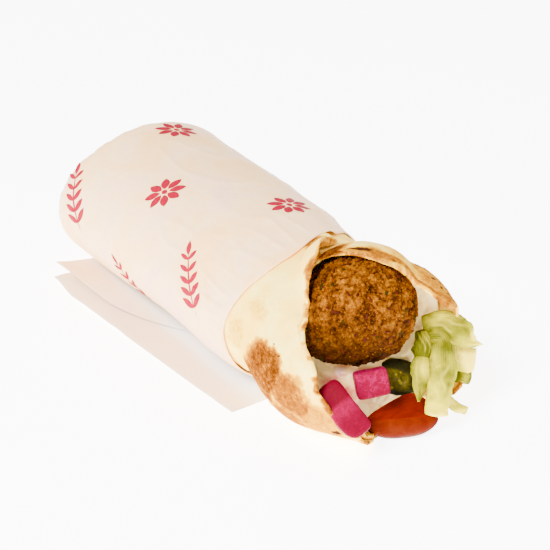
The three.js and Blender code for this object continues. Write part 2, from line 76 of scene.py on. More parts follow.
# How far forward each rim reaches, as pairs of an angle and a place along the roll.
OUTER_RIM = (
    (-28, -46), (8, -42), (46, -51), (75, -70), (95, -75), (112, -82), (135, -79), (170, -77),
    (188, -79), (205, -86), (223, -88), (249, -86), (264, -84), (274, -81.8), (282, -78.8), (288, -76),
    (295, -72.4), (300, -69.3), (305, -66.8), (313, -63.2), (325, -61.2), (334, -60.8), (344, -59.6),
    (349, -58.4), (352, -56), (355, -53.6), (359, -50), (364, -46.5), (369, -42), (376, -36),
)
LINING_RIM = (
    (-28, -50), (-9, -55.5), (-2.5, -61), (1, -62.6), (3, -63.8), (6.5, -67), (9.5, -68.8),
    (14.5, -72.2), (20, -77), (24, -82), (28.5, -88.5), (33, -91), (38, -88.5), (46, -85),
    (55, -83.5), (65, -82), (80, -79.5), (95, -78), (104, -82), (112, -88), (122, -90),
    (130, -86), (138, -79), (170, -76), (190, -77.5), (207, -86), (228, -88), (248, -84),
    (262, -76), (276, -62), (292, -50),
)
SLEEVE_RIM = (
    (-180, -31), (-105, -32), (-87, -30.5), (-53, -34), (-33, -37.5), (-12, -38), (9, -33),
    (23, -30), (50, -21), (90, -19), (130, -23), (180, -31),
)
TAIL_FRONT_X, TAIL_BACK_X, TAIL_INNER_X = -37.3, -46.7, 5.0
TAIL_FRONT_Y, TAIL_BACK_Y = -40.0, 78.6

sleeve_low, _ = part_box("paper_sleeve")
# From the roll's axes to the frame's: the tail's corner is the sleeve's lowest one.
TO_FRAME = np.array(sleeve_low) * 1000 - (TAIL_BACK_X, TAIL_FRONT_Y, 0.0)

# ---- Small mathematics -------------------------------------------------------------------


def clamp(t):
    return np.clip(t, 0, 1)


def evenly(count):
    return np.linspace(0, 1, count)


def together(*parts):
    """Numbers side by side in one array, such as the x, y and z of points."""
    return np.stack(parts, -1)


def smooth(t):
    t = clamp(t)
    return t * t * (3 - 2 * t)


def mix(a, b, t):
    return a + (b - a) * t


def bell(x, centre, width):
    return np.exp(-(((x - centre) / width) ** 2))


def sine(degrees):
    return np.sin(np.radians(degrees))


def turn_from(start, angle):
    """The shorter way round from one angle to another, from -180 to 180."""
    return (angle - start + 180) % 360 - 180


def unit(vector):
    vector = np.asarray(vector, float)
    return vector / np.linalg.norm(vector, axis=-1, keepdims=True)


class Lumps:
    """Smooth random heights from -1 to 1 in space, the same on each run."""

    SIZE = 32

    def __init__(self, seed):
        self.lattice = np.random.default_rng(seed).uniform(-1, 1, (self.SIZE,) * 3)

    def once(self, cells):
        low = np.floor(cells).astype(int)
        part = smooth(cells - low)
        total = 0.0
        for corner in np.ndindex(2, 2, 2):
            share = np.prod(np.where(np.array(corner) == 1, part, 1 - part), axis=-1)
            i, j, k = np.moveaxis((low + corner) % self.SIZE, -1, 0)
            total = total + share * self.lattice[i, j, k]
        return total

    def __call__(self, points, size, layers=1):
        """Lumps about size across; each further layer is half as wide and half as high."""
        heights = [self.once(points / size * 2**k + 7.3 * k) / 2**k for k in range(layers)]
        return sum(heights)


lumps = Lumps(4)
other_lumps = Lumps(11)

# ---- The roll's form ---------------------------------------------------------------------


def section(y):
    """Half width, half height, sideways shift and height above the table along the roll."""
    along = clamp((y - MOUTH_Y) / (BACK_Y - MOUTH_Y))
    full = smooth((y - MOUTH_Y) / NOSE_LENGTH)
    width, height, shift = (
        mix(mouth, mix(body, back, along), full)
        for mouth, body, back in zip(MOUTH_HALF, BODY_HALF, BACK_HALF)
    )
    on_paper = smooth((y - ON_PAPER_FROM) / ON_PAPER_LENGTH)
    return width, height, shift, mix(BREAD_BASE, SLEEVE_BASE, on_paper)


def swelling(angle, y):
    """How far the roll's surface lies out from its even form."""
    a = np.radians(angle)
    height = 0.4 * np.sin(2 * a + 0.045 * y + 1) + 0.35 * np.sin(3 * a - 0.07 * y)
    for at, spread, middle, length, rise in SWELLINGS:
        height = height + rise * bell(turn_from(at, angle), 0, spread) * bell(y, middle, length)
    return height


def roll_point(angle, y, offset, keep_out=None, flat_offset=None):
    """The roll's surface moved out by offset, kept keep_out from the falafel's centre."""
    width, height, shift, base = section(y)
    out = offset + swelling(angle, y)
    a = np.radians(angle)
    z = base + height - SAG + (height + out) * np.cos(a)
    z = np.maximum(z, base - (offset if flat_offset is None else flat_offset))
    p = np.stack(np.broadcast_arrays(shift + (width + out) * np.sin(a), y, z), -1)
    if keep_out is None:
        return p
    away = p - BALL_CENTRE
    distance = np.linalg.norm(away, axis=-1)
    pushed = 0.5 * (distance + keep_out + np.sqrt((distance - keep_out) ** 2 + PUSH_BLEND))
    return BALL_CENTRE + away * (pushed / distance)[..., None]


def spiral(angle):
    """How far the breads lie from the roll's surface, winding out from their starts."""
    return -SPIRAL * (1 - smooth((angle - BREAD_START) / SPIRAL_TURN))


LINING_OUTSIDE = -BREAD - LAYER_GAP
BALL_ROOM = BALL_RADIUS + 1.9
LINED_ROOM = BALL_ROOM + LINING - LINING_OUTSIDE + 0.3


def outer_room(angle):
    """Over the lining at first, past its end over the falafel, then over both breads' starts."""
    bare = BALL_ROOM + BREAD
    lined = mix(LINED_ROOM, bare, smooth((angle - 250) / 60))
    return lined + (LINED_ROOM + BREAD + LAYER_GAP - bare) * smooth((angle - 318) / 40)


def lining_room(angle):
    return np.full_like(angle, BALL_ROOM + LINING)


def between(stations, angle):
    """A value between stations of an angle and a value, its corners rounded off."""
    places, values = zip(*stations)
    return sum(np.interp(angle + d, places, values) for d in (-6, -3, 0, 3, 6)) / 5


def torn(angle):
    """How a bread's rim is torn, with finer tears and crumbs."""
    along = together(angle * 0.55, np.full_like(angle, 3.0), np.full_like(angle, 8.0))
    crumbs = 0.55 * other_lumps(along, 2.6, 3)
    return 0.5 * sine(11 * angle) + 0.4 * sine(17 * angle + 40) + crumbs


# ---- Meshes ------------------------------------------------------------------------------


def make_piece(name, points, faces, finish, slot, node=None, **values):
    """A piece from points in the roll's axes, with a value at each point for its material."""
    points = (np.reshape(points, (-1, 3)) + TO_FRAME) / 1000
    corners = points[triangles(faces)]
    inside_out = np.einsum("ij,ij->", corners[:, 0], np.cross(corners[:, 1], corners[:, 2])) < 0
    mesh = bpy.data.meshes.new(name)
    mesh.from_pydata(points, [], faces[:, ::-1] if inside_out else faces)
    for key, value in values.items():
        value = np.zeros(len(points)) + np.ravel(value)
        attribute = mesh.attributes.new(key, "FLOAT", "POINT")
        attribute.data.foreach_set("value", value.astype(np.float32))
    mesh.shade_smooth()
    mesh.materials.append(finish)
    return place_piece(bpy.data.objects.new(name, mesh), node)


def place_piece(piece, node=None):
    """Put a piece in the scene, in place of its CAD node if it has one."""
    bpy.context.scene.collection.objects.link(piece)
    if node:
        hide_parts(node)
    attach(piece, "root")
    return piece


def quads(grid):
    """Faces between neighbours in a grid of point numbers."""
    return together(grid[:-1, :-1], grid[1:, :-1], grid[1:, 1:], grid[:-1, 1:]).reshape(-1, 4)


def shell(inner, outer, *values):
    """A closed skin from two grids that are joined along their borders, and its faces."""
    rows, columns = inner.shape[:2]
    below = np.arange(rows * columns).reshape(rows, columns)
    above = below.copy()
    above[1:-1, 1:-1] = rows * columns + np.arange((rows - 2) * (columns - 2)).reshape(rows - 2, -1)
    faces = np.concatenate([quads(below)[:, ::-1], quads(above)])

    def gathered(low, high):
        first = (low + high) / 2
        first[1:-1, 1:-1] = low[1:-1, 1:-1]
        parts = [part.reshape(-1, *low.shape[2:]) for part in (first, high[1:-1, 1:-1])]
        return np.concatenate(parts)

    return gathered(inner, outer), faces, *(gathered(*pair) for pair in values)


def triangles(faces):
    """Faces as three-sided ones: both halves of each where they have four sides."""
    if faces.shape[1] == 3:
        return faces
    return np.concatenate([faces[:, [0, 1, 2]], faces[:, [0, 2, 3]]])


def rings_mesh(points, first, last):
    """A closed surface of rings between two poles, as points and three-sided faces."""
    count, around = points.shape[:2]
    ring = np.arange(count * around).reshape(count, around)
    closed = np.concatenate([ring, ring[:, :1]], 1)
    pole = np.full(around, count * around)
    start = together(pole, closed[0, 1:], closed[0, :-1])
    end = together(pole + 1, closed[-1, :-1], closed[-1, 1:])
    everything = np.concatenate([points.reshape(-1, 3), [first], [last]])
    return everything, np.concatenate([triangles(quads(closed)), start, end])


def joined(parts):
    """Several closed surfaces, each its points and faces, as one."""
    points, faces = zip(*parts)
    starts = np.cumsum([0, *map(len, points)])
    return np.concatenate(points), np.concatenate([f + start for f, start in zip(faces, starts)])


# ---- Finishes ----------------------------------------------------------------------------


def tint(red, green, blue):
    """A colour from its screen values of 0 to 255."""
    shares = np.array([red, green, blue]) / 255
    linear = np.where(shares < 0.04045, shares / 12.92, ((shares + 0.055) / 1.055) ** 2.4)
    return (*linear, 1.0)


class Nodes:
    """Short ways to add nodes to a tree. Each gives the socket that comes out of its node."""

    def __init__(self, tree):
        self.tree = tree

    def add(self, kind, inputs=None, output=0, **settings):
        """A node with its settings made, and its inputs given values or linked."""
        node = self.tree.nodes.new(kind)
        for key, value in settings.items():
            setattr(node, key, value)
        for key, value in (inputs or {}).items():
            if isinstance(value, bpy.types.NodeSocket):
                self.tree.links.new(value, node.inputs[key])
            else:
                node.inputs[key].default_value = value
        return node.outputs[output]

    def math(self, operation, a, b=0.0, c=0.0):
        return self.add("ShaderNodeMath", {0: a, 1: b, 2: c}, operation=operation)

    def scaled(self, value, by, plus=0.0):
        """A value times another, plus a third."""
        return self.math("MULTIPLY_ADD", value, by, plus)


class Finish(Nodes):
    """A material in the making, with short ways to add what a food's surface needs."""

    def __init__(self, name, roughness, specular=0.5, inner_light=0.0, depth=1.0, reach=(1, 0.2, 0.1)):
        """inner_light is the share of light that goes in; depth and reach say how far, by colour."""
        self.material = bpy.data.materials.new(name)
        self.material.use_nodes = True
        super().__init__(self.material.node_tree)
        self.shader = self.tree.nodes["Principled BSDF"]
        self.place = self.add("ShaderNodeTexCoord", output="Object")
        self.set("Roughness", roughness)
        self.set("Specular IOR Level", specular)
        self.set("Subsurface Weight", inner_light)
        self.set("Subsurface Scale", depth / 1000)
        self.set("Subsurface Radius", reach)

    def set(self, key, value):
        self.shader.inputs[key].default_value = value

    def noise(self, size, detail, roughness, distortion=0.0, stretch=None):
        """Random values from 0 to 1 whose patches are about size across."""
        place = self.place
        if stretch:
            place = self.add("ShaderNodeMapping", {"Vector": place, "Scale": stretch})
        inputs = {"Vector": place, "Scale": 1000 / size, "Detail": detail, "Roughness": roughness}
        return self.add("ShaderNodeTexNoise", {**inputs, "Distortion": distortion})

    def cells(self, size):
        """The distance from the middles of random cells about size across."""
        return self.add("ShaderNodeTexVoronoi", {"Vector": self.place, "Scale": 1000 / size}, "Distance")

    def value(self, name):
        """A value that the piece has at each point."""
        return self.add("ShaderNodeAttribute", output="Fac", attribute_name=name)

    def swayed(self, level, *noises):
        """A level moved up and down by noises, each given with how far it reaches."""
        for noise, height in noises:
            level = self.scaled(self.math("SUBTRACT", noise, 0.5), height, level)
        return level

    def range(self, value, low, high, to_low=0.0, to_high=1.0):
        """A value stretched from one range to another and held within it."""
        inputs = {"Value": value, "From Min": low, "From Max": high}
        return self.add("ShaderNodeMapRange", {**inputs, "To Min": to_low, "To Max": to_high})

    def ramp(self, value, *stops):
        """Colours blended over a value's stops, each a place from 0 to 1 and a screen colour."""
        colour = self.add("ShaderNodeValToRGB", {0: value})
        elements = colour.node.color_ramp.elements
        while len(elements) < len(stops):
            elements.new(0.5)
        for element, (place, *screen) in zip(elements, stops):
            element.position = place
            element.color = tint(*screen)
        return colour

    def tones(self, value, low, high):
        """Two screen colours blended over the middle of a noise's range."""
        return self.ramp(value, (0.3, *low), (0.7, *high))

    def mix(self, share, a, b):
        """Colour a with a share of b over it, which may be a screen colour."""
        b = tint(*b) if isinstance(b, tuple) else b
        return self.add("ShaderNodeMix", {0: share, 6: a, 7: b}, output=2, data_type="RGBA")

    def bump(self, height, depth, before=None):
        """Relief of a depth in millimetres, on top of earlier relief if there is any."""
        inputs = {"Height": height, "Distance": depth / 1000, "Strength": 1.0}
        if before is not None:
            inputs["Normal"] = before
        return self.add("ShaderNodeBump", inputs)

    def done(self, colour, relief=None):
        self.tree.links.new(colour, self.shader.inputs["Base Color"])
        if relief:
            self.tree.links.new(relief, self.shader.inputs["Normal"])
        return self.material


def bread_finish():
    """Soft flatbread: cream, brown where it is toasted and where shade is painted on, with a floury grain.
    """
    f = Finish("toasted flatbread", 0.78, 0.01, 0.05, 1.5, (1.0, 0.6, 0.35))
    mottle, grain, patches = f.noise(1.7, 6, 0.68, 0.3), f.noise(0.6, 3, 0.6), f.noise(12, 3, 0.5)
    speckle = f.swayed(0.66, (mottle, 1.5), (patches, 0.7), (grain, 0.7))
    browned = f.scaled(f.value("toast"), speckle)
    cream = f.ramp(patches, (0.36, 252, 222, 116), (0.54, 251, 208, 88), (0.72, 248, 188, 58))
    brown = f.ramp(
        browned,
        (0.0, 244, 190, 24), (0.18, 202, 138, 0), (0.4, 144, 82, 0), (0.68, 98, 49, 0), (1.0, 46, 18, 0),
    )
    colour = f.mix(f.range(browned, 0.02, 0.12), cream, brown)
    char = f.range(f.scaled(grain, 0.5, f.value("char")), 0.62, 0.95)
    relief = f.bump(f.noise(0.35, 3, 0.6), 0.05, f.bump(f.noise(1.1, 5, 0.62), 0.16))
    return f.done(f.mix(char, colour, (52, 24, 12)), relief)


def paper_finish():
    """Thin greaseproof paper: faintly warm where bread shows through, with soft creases, and a painted
    neutral grey where it lies in the shaded gap beside the roll's foot.
    """
    f = Finish("greaseproof paper", 0.5, 0.06, 0.2, 1.0, (1.0, 0.95, 0.9))
    fibre = f.noise(1.6, 6, 0.6, 0.2)
    warm = f.noise(30, 4, 0.6, 0.4)
    colour = f.ramp(warm, (0.34, 246, 192, 166), (0.48, 253, 206, 152), (0.62, 254, 196, 124))
    colour = f.mix(f.range(fibre, 0.35, 0.75, 0.0, 0.2), colour, (226, 176, 146))
    colour = f.mix(f.value("single"), colour, (218, 200, 176))
    # Painted shade colour: a neutral grey where the paper lies in the shaded gap beside the foot of the
    # roll.
    colour = f.mix(f.value("tucked"), colour, (226, 222, 218))
    return f.done(colour, f.bump(fibre, 0.05, f.bump(f.noise(9, 4, 0.5, 0.8), 0.35)))


def print_finish():
    f = Finish("crimson print", 0.5, 0.03)
    wear = f.noise(1.2, 4, 0.6)
    colour = f.ramp(wear, (0.3, 156, 0, 44), (0.5, 142, 0, 36), (0.8, 130, 0, 32))
    return f.done(colour, f.bump(wear, 0.03))


def falafel_finish():
    """Fried crust with painted shade: dark in the cracks, golden on the crumb tops, darkest on its lower
    left, where fried says.
    """
    f = Finish("falafel crust", 0.5, 0.015, 0.02)
    fine, grains, patches = f.noise(0.45, 3, 0.7), f.noise(1.1, 6, 0.78, 1.0), f.noise(7, 4, 0.6, 0.5)
    # Painted shade and light: the crust's colour follows its height, dark in the cracks and golden on the
    # crumb tops.
    level = f.swayed(f.value("height"), (fine, 0.8), (grains, 1.5), (patches, 1.1))
    crust = f.ramp(
        level,
        (0.02, 16, 5, 0), (0.22, 44, 17, 0), (0.44, 80, 38, 0), (0.66, 112, 61, 0), (0.95, 146, 94, 0),
    )
    # Painted shade: darker on the lower left side, which faces away from the light, as fried says.
    crust = f.mix(f.range(f.value("fried"), 0.0, 0.75, 0.0, 0.82), crust, (34, 12, 0))
    return f.done(crust, f.bump(f.noise(0.5, 4, 0.7), 0.2))


def fleck_finish(name, dark, light, roughness=0.5):
    f = Finish(name, roughness, 0.03)
    shade = f.noise(0.5, 3, 0.6)
    return f.done(f.tones(shade, dark, light), f.bump(shade, 0.05))


def sauce_finish():
    """Thick white garlic sauce, glossy, stained pink where the point value stain says."""
    f = Finish("garlic sauce", 0.3, 0.3, 0.3, 3.0, (1.0, 0.8, 0.6))
    shade = f.noise(6, 4, 0.55, 0.3)
    colour = f.ramp(shade, (0.3, 224, 184, 104), (0.65, 248, 222, 146))
    colour = f.mix(f.scaled(f.value("stain"), f.range(shade, 0.3, 0.6)), colour, (186, 84, 76))
    herbs = f.range(f.cells(2.6), 0.07, 0.05)
    colour = f.mix(f.scaled(herbs, 0.5), colour, (150, 140, 80))
    return f.done(colour, f.bump(f.noise(2.0, 4, 0.55), 0.25))


def turnip_finish():
    """Pickled turnip dyed pink: a wet flesh with pale veins, darkest where deep says; on the stick that is
    painted shade.
    """
    f = Finish("pink pickled turnip", 0.36, 0.012, 0.15, 2.0, (1.0, 0.2, 0.35))
    fibre = f.noise(1.6, 5, 0.62, 1.6)
    from_vein = f.math("ABSOLUTE", f.swayed(0.0, (f.noise(3.4, 3, 0.5, 1.0), 1.0)))
    colour = f.ramp(fibre, (0.25, 98, 0, 32), (0.5, 114, 0, 40), (0.8, 134, 0, 54))
    veins = f.scaled(f.range(from_vein, 0.0, 0.034, 1.0, 0.0), f.scaled(f.value("veined"), 0.34))
    colour = f.mix(veins, colour, (196, 20, 104))
    # Darker where deep says: painted shade at the stick's ends, which leaves a painted sheen across its
    # middle.
    colour = f.mix(f.scaled(f.value("deep"), 0.85), colour, (80, 0, 14))
    return f.done(colour, f.bump(fibre, 0.12))


def tomato_finish():
    """Tomato: skin outside and a redder, streaky flesh where cut says."""
    f = Finish("tomato", 0.3, 0.015, 0.15, 2.0, (1.0, 0.25, 0.1))
    skin = f.tones(f.noise(3.5, 4, 0.55, 0.5), (76, 12, 0), (88, 25, 0))
    streaks = f.noise(1.4, 5, 0.6, 1.0, (0.3, 1, 1))
    cut = f.tones(streaks, (80, 9, 0), (96, 17, 0))
    return f.done(f.mix(f.value("cut"), skin, cut), f.bump(streaks, 0.05))


def pickle_finish():
    """Pickled cucumber: a dark green rind round a paler, seedy middle."""
    f = Finish("pickled cucumber", 0.3, 0.06, 0.15, 2.0, (0.7, 1.0, 0.2))
    pulp = f.noise(1.8, 4, 0.6, 0.6)
    flesh = f.tones(pulp, (32, 26, 0), (78, 67, 0))
    rind = f.tones(pulp, (16, 13, 0), (32, 28, 0))
    seeds = f.range(f.cells(2.2), 0.3, 0.2)
    flesh = f.mix(f.scaled(seeds, 0.5), flesh, (124, 108, 10))
    return f.done(f.mix(f.value("rind"), flesh, rind), f.bump(pulp, 0.12))


def lettuce_finish():
    """Crisp lettuce: pale ribs and a yellow blade, greener and darker where the point value green says,
    partly as painted shade.
    """
    f = Finish("shredded lettuce", 0.4, 0.02, 0.25, 2.0, (0.7, 1.0, 0.25))
    vein, shade = f.value("vein"), f.noise(2.2, 4, 0.55, 0.4)
    level = f.swayed(f.value("green"), (shade, 0.35))
    colour = f.ramp(
        level, (0.04, 236, 208, 66), (0.22, 200, 182, 0), (0.48, 152, 142, 0), (0.92, 76, 76, 0)
    )
    colour = f.mix(f.scaled(vein, 0.34), colour, (226, 206, 60))
    return f.done(colour, f.bump(f.scaled(vein, 0.5, shade), 0.16))


BREAD_LOOK = bread_finish()
PAPER_LOOK = paper_finish()
PRINT_LOOK = print_finish()
FALAFEL_LOOK = falafel_finish()
HERB_LOOK = fleck_finish("chopped parsley", (22, 17, 0), (46, 36, 0))
ONION_LOOK = fleck_finish("fried onion", (34, 9, 2), (66, 20, 6))
CRUMB_LOOK = fleck_finish("golden crumbs", (70, 34, 0), (122, 72, 0), 0.6)
SAUCE_LOOK = sauce_finish()
TURNIP_LOOK = turnip_finish()
TOMATO_LOOK = tomato_finish()
PICKLE_LOOK = pickle_finish()
LETTUCE_LOOK = lettuce_finish()

# ---- Camera, light and table -------------------------------------------------------------

CAMERA_AZIMUTH, CAMERA_ELEVATION, CAMERA_DISTANCE = -33.8, 30.5, 643.0
CAMERA_ASIDE = (-6.5, -21.6)  # from the camera's axis to the roll's origin, right and up
SENSOR, LENS_PIXELS, PICTURE_PIXELS = 36.0, 1680.0, 550.0
WHITE = (1.0, 1.0, 1.0, 1.0)
DAYLIGHT, TABLE_GLOW, TABLE_HALF = 1.1, 7.0, 3.0
# Place and size in metres, and power.
LAMPS = {"key": ((-0.75, -0.35, 0.9), 0.45, 60.0), "fill": ((0.7, -0.75, 0.5), 0.7, 1.5)}
LAMPS_AIM = Vector((0.0, -0.02, 0.02))


def in_scene(name, data):
    """A new object in the scene that holds the data."""
    thing = bpy.data.objects.new(name, data)
    bpy.context.scene.collection.objects.link(thing)
    return thing


def camera():
    azimuth, elevation = np.radians(CAMERA_AZIMUTH), np.radians(CAMERA_ELEVATION)
    level = np.array([np.sin(azimuth), -np.cos(azimuth), 0.0])
    right = np.array([np.cos(azimuth), np.sin(azimuth), 0.0])
    back = level * np.cos(elevation) + (0, 0, np.sin(elevation))
    up = np.cross(back, right)
    place = back * CAMERA_DISTANCE - right * CAMERA_ASIDE[0] - up * CAMERA_ASIDE[1]
    data = bpy.data.cameras.new("camera")
    data.sensor_width = SENSOR
    data.lens = SENSOR * LENS_PIXELS / PICTURE_PIXELS
    data.clip_start, data.clip_end = 0.01, 20.0
    eye = in_scene("camera", data)
    rows = together(right, up, back, (place + TO_FRAME) / 1000)
    eye.matrix_world = Matrix([*rows.tolist(), (0, 0, 0, 1)])
    bpy.context.scene.camera = eye


def lights():
    world = bpy.data.worlds.new("studio")
    world.use_nodes = True
    background = world.node_tree.nodes["Background"].inputs
    background["Color"].default_value = WHITE
    background["Strength"].default_value = DAYLIGHT
    bpy.context.scene.world = world
    for name, (place, size, power) in LAMPS.items():
        data = bpy.data.lights.new(name, "AREA")
        data.shape = "DISK"
        data.size, data.energy = size, power
        lamp = in_scene(name, data)
        lamp.location = place
        lamp.rotation_mode = "QUATERNION"
        lamp.rotation_quaternion = (Vector(place) - LAMPS_AIM).to_track_quat("Z", "Y")


def table():
    f = Finish("pale table", 0.6)
    f.set("Emission Color", WHITE)
    f.set("Emission Strength", TABLE_GLOW)
    mesh = bpy.data.meshes.new("table")
    corners = [(x * TABLE_HALF, y * TABLE_HALF, 0) for x, y in ((-1, -1), (1, -1), (1, 1), (-1, 1))]
    mesh.from_pydata(corners, [], [(0, 1, 2, 3)])
    colour = f.tones(f.noise(60, 2, 0.5), (250, 250, 249), (252, 252, 251))
    mesh.materials.append(f.done(colour))
    in_scene("table", mesh)


# ---- Breads ------------------------------------------------------------------------------

# Toasted places of the outer bread: from and to angle, from and to place along the roll, how
# softly its sides, front and back fade, and how brown it is. The faint wide one at 250 to 296
# degrees is painted shade over a dent in the flap.
OUTER_TOAST = (
    (256, 286, -64.5, -47, 6, 1.2, 7, 1.0),
    (246, 266, -60, -44, 8, 3, 8, 0.8),
    (250, 276, -76, -62, 8, 4, 3, 0.7),
    (228, 250, -70, -58, 9, 4, 6, 0.6),
    # Painted shade over a dent in the flap, not a toasted place.
    (250, 296, -72, -42, 14, 8, 12, 0.07),
    (222, 244, -60, -44, 10, 5, 6, 0.3),
    (264, 288, -43, -30, 12, 6, 7, 0.13),
    (226, 262, -86, -70, 10, 5, 6, 0.4),
    (296, 312, -48, -38, 10, 5, 5, 0.13),
    (338, 348, -61, -56.8, 4, 2, 2, 0.8),
    (318, 326, -63, -60.6, 3, 1.5, 1.5, 0.5),
    (10, 44, -50, -36, 10, 4, 4, 0.2),
    (40, 66, -46, -30, 12, 5, 5, 0.36),
    (58, 84, -72, -56, 12, 6, 6, 0.5),
    (88, 108, -64, -46, 12, 6, 8, 0.42),
    (120, 142, -78, -62, 12, 6, 6, 0.4),
    (150, 178, -64, -42, 14, 7, 8, 0.45),
    (188, 208, -60, -44, 12, 6, 6, 0.4),
    (352, 376, -46, -34, 5, 2, 2, 0.55),
)
# Toasted places of the lining, given the same way. Over the falafel they are partly painted shade: the
# shade that the outer bread's rim casts on the lining.
LINING_TOAST = (
    (-12, 6, -71, -61, 6, 1.5, 2, 0.55),
    (8, 30, -84, -62, 8, 2, 4, 0.16),
    (24, 48, -92, -66, 8, 2, 6, 0.42),
    (30, 40, -72, -60, 6, 3, 3, 0.7),
    (-5, 2, -60, -55, 3, 1.5, 1.5, 1.1),
    (56, 80, -78, -60, 12, 6, 6, 0.5),
    (110, 260, -90, -80, 12, 2, 3, 0.45),
)
# Small scorched spots: angle, place along the roll and radius.
OUTER_CHAR = (
    (234.5, -82.6, 1.5), (285, -62, 0.5), (244, -74, 0.5), (238, -71, 0.4), (290, -58, 0.4),
    (20, -46.5, 0.9), (26, -47.5, 0.7), (33, -48.5, 0.9), (14, -45, 0.6),
)
LINING_CHAR = (
    (0.2, -60.6, 0.4), (1.6, -61.4, 0.5), (2.6, -61.9, 0.4), (3.6, -62.4, 0.6), (9.2, -67, 0.4),
    (13.5, -69, 0.5), (16.5, -69.6, 0.4), (31, -68, 0.7), (33, -69.6, 0.7), (24, -77, 0.4),
    (31.5, -77, 0.7), (33, -81.5, 0.6), (35, -79, 0.4), (36, -84, 0.7), (38, -81, 0.5),
)
ARC = 0.55  # millimetres round the roll for each degree
RIM_STEPS = np.array([0, 0.06, 0.18, 0.36, 0.6, 0.9, 1.3])[:, None]  # rows behind the rim
OPEN_ROWS, COVERED_ROWS = 85, 9
COVERED_FROM = -30.0  # from here on the sleeve hides the breads
RIM_ROUNDING = 0.9
TOAST_CORNERS = 2.6  # 2 makes toasted places oval, more makes them squarer
FLATTEST = BREAD_BASE - 0.08  # how low a bread's faces may reach


def toast_at(angle, y, places, p):
    """How brown the bread is, from its toasted places and its painted shade, their outlines wandering."""
    wander = 1.9 * lumps(p, 8, 3) + 0.8 * lumps(p, 1.3, 2)
    angle_off = angle + wander / ARC
    y_off = y + 1.7 * other_lumps(p, 8, 3) + 0.7 * other_lumps(p, 1.3, 2)
    brown = 0.0
    for low, high, front, back, side, front_fade, back_fade, strength in places:
        wide, long = (high - low) / 2, (back - front) / 2
        across, along = (angle_off - low) / wide - 1, (y_off - front) / long - 1
        reach = np.abs(across) ** TOAST_CORNERS + np.abs(along) ** TOAST_CORNERS
        reach = reach ** (1 / TOAST_CORNERS)
        turned = across**2 / (across**2 + along**2 + 1e-6)
        fade = mix(np.where(along < 0, front_fade, back_fade) / long, side / wide, turned)
        brown = np.maximum(brown, strength * smooth((1.08 - reach) / fade + 0.5))
    return brown


def char_at(angle, y, spots, p):
    """How scorched the bread is, from its spots with their outlines uneven."""
    dark = 0.0
    shape = 1 + 0.5 * other_lumps(p, 1.4, 2)
    for at, along, radius in spots:
        distance = np.hypot(turn_from(at, angle) * ARC, y - along)
        dark = np.maximum(dark, smooth(1.6 - distance / (radius * shape)))
    return dark


def bread_rows(rim):
    """Places along the roll in rows from the rim to the back, close together at the rim."""
    near = rim + RIM_STEPS
    covered = np.maximum(COVERED_FROM, rim + 6)
    middle = mix(near[-1:], covered, evenly(OPEN_ROWS + 1)[1:, None])
    far = mix(covered, BREAD_BACK_Y, evenly(COVERED_ROWS + 1)[1:, None])
    return np.concatenate([near, middle, far])


def rounded(distance):
    """Where an edge is rounded off: from 0 at the edge to 1."""
    return np.sqrt(clamp(1 - (1 - clamp(distance / RIM_ROUNDING)) ** 2))


def browning(angle, y, from_rim, p, places, first, last, deep, strength):
    """How brown each face is, toasted and in places painted shade. Behind the rim's pale edge, a stretch
    from first to last is made brown; on the lining it is partly painted shade.
    """
    toast = toast_at(angle, y, places, p)
    beside = smooth((angle - first) / 8 + 0.5) * smooth((last - angle) / 8 + 0.5)
    depth_in = from_rim + 1.2 * lumps(p, 4, 3)
    behind_edge = smooth((depth_in - 0.3) / 1.2) * smooth((deep - depth_in) / 1.6 + 0.5)
    toast = np.maximum(toast, strength * beside * behind_edge)
    lower_flap = bell(turn_from(258, angle), 0, 36)
    at_rim = bell(from_rim, 0, 1.3) * smooth(lumps(p, 3, 2) * 1.5 + 0.35 + 0.4 * lower_flap)
    toast_out = np.maximum(toast, mix(0.75, 0.3, smooth((angle - 330) / 15)) * at_rim)
    toast_in = np.maximum(0.25 * toast, 0.8 * at_rim) + 0.3 * smooth(lumps(p, 8, 2))
    return toast_in, toast_out


def flatbread(name, node, last_angle, rim, tears, outside, thickness, room, columns, toast, char, browned):
    """A bread rolled up, its rim torn and rounded, its faces gently blistered."""
    angle = np.linspace(BREAD_START, last_angle, columns)[None, :]
    rim = between(rim, angle) + torn(angle + tears)
    y = bread_rows(rim)
    angle = np.broadcast_to(angle, y.shape)
    from_rim = y - rim
    from_side = np.minimum(angle - BREAD_START, last_angle - angle) * ARC
    half = thickness / 2 * rounded(from_rim) * rounded(np.minimum(from_side, BREAD_BACK_Y - y))
    half = half * (1 + 0.25 * lumps(roll_point(angle, y, 0.0), 7, 2))
    middle = outside + spiral(angle) - thickness / 2
    p = roll_point(angle, y, middle)
    open_part = smooth((-24 - y) / 8)
    wave = open_part * (0.22 * lumps(p, 9, 2) + 0.5 * bell(from_rim, 0, 5) * other_lumps(p, 6, 2))
    blister = open_part * 0.35 * smooth(other_lumps(p, 5, 2) * 1.6 - 0.5)
    faces = []
    for side in (-1, 1):
        offset = middle + side * half + wave + (blister if side > 0 else 0)
        face = roll_point(angle, y, offset, room(angle) - thickness / 2 + side * half)
        face[..., 2] = np.maximum(face[..., 2], FLATTEST)
        faces.append(face)
    toasts = browning(angle, y, from_rim, p, toast, *browned)
    char = char_at(angle, y, char, p)
    points, polygons, toast, char = shell(*faces, toasts, (0 * char, char))
    make_piece(name, points, polygons, BREAD_LOOK, "bread", node, toast=toast, char=char)


flatbread(
    "flatbread_outer", "bread_outer", BREAD_END, OUTER_RIM, tears=0, outside=0.0, thickness=BREAD,
    room=outer_room, columns=420, toast=OUTER_TOAST, char=OUTER_CHAR, browned=(300, 345, 1.6, 0.24),
)
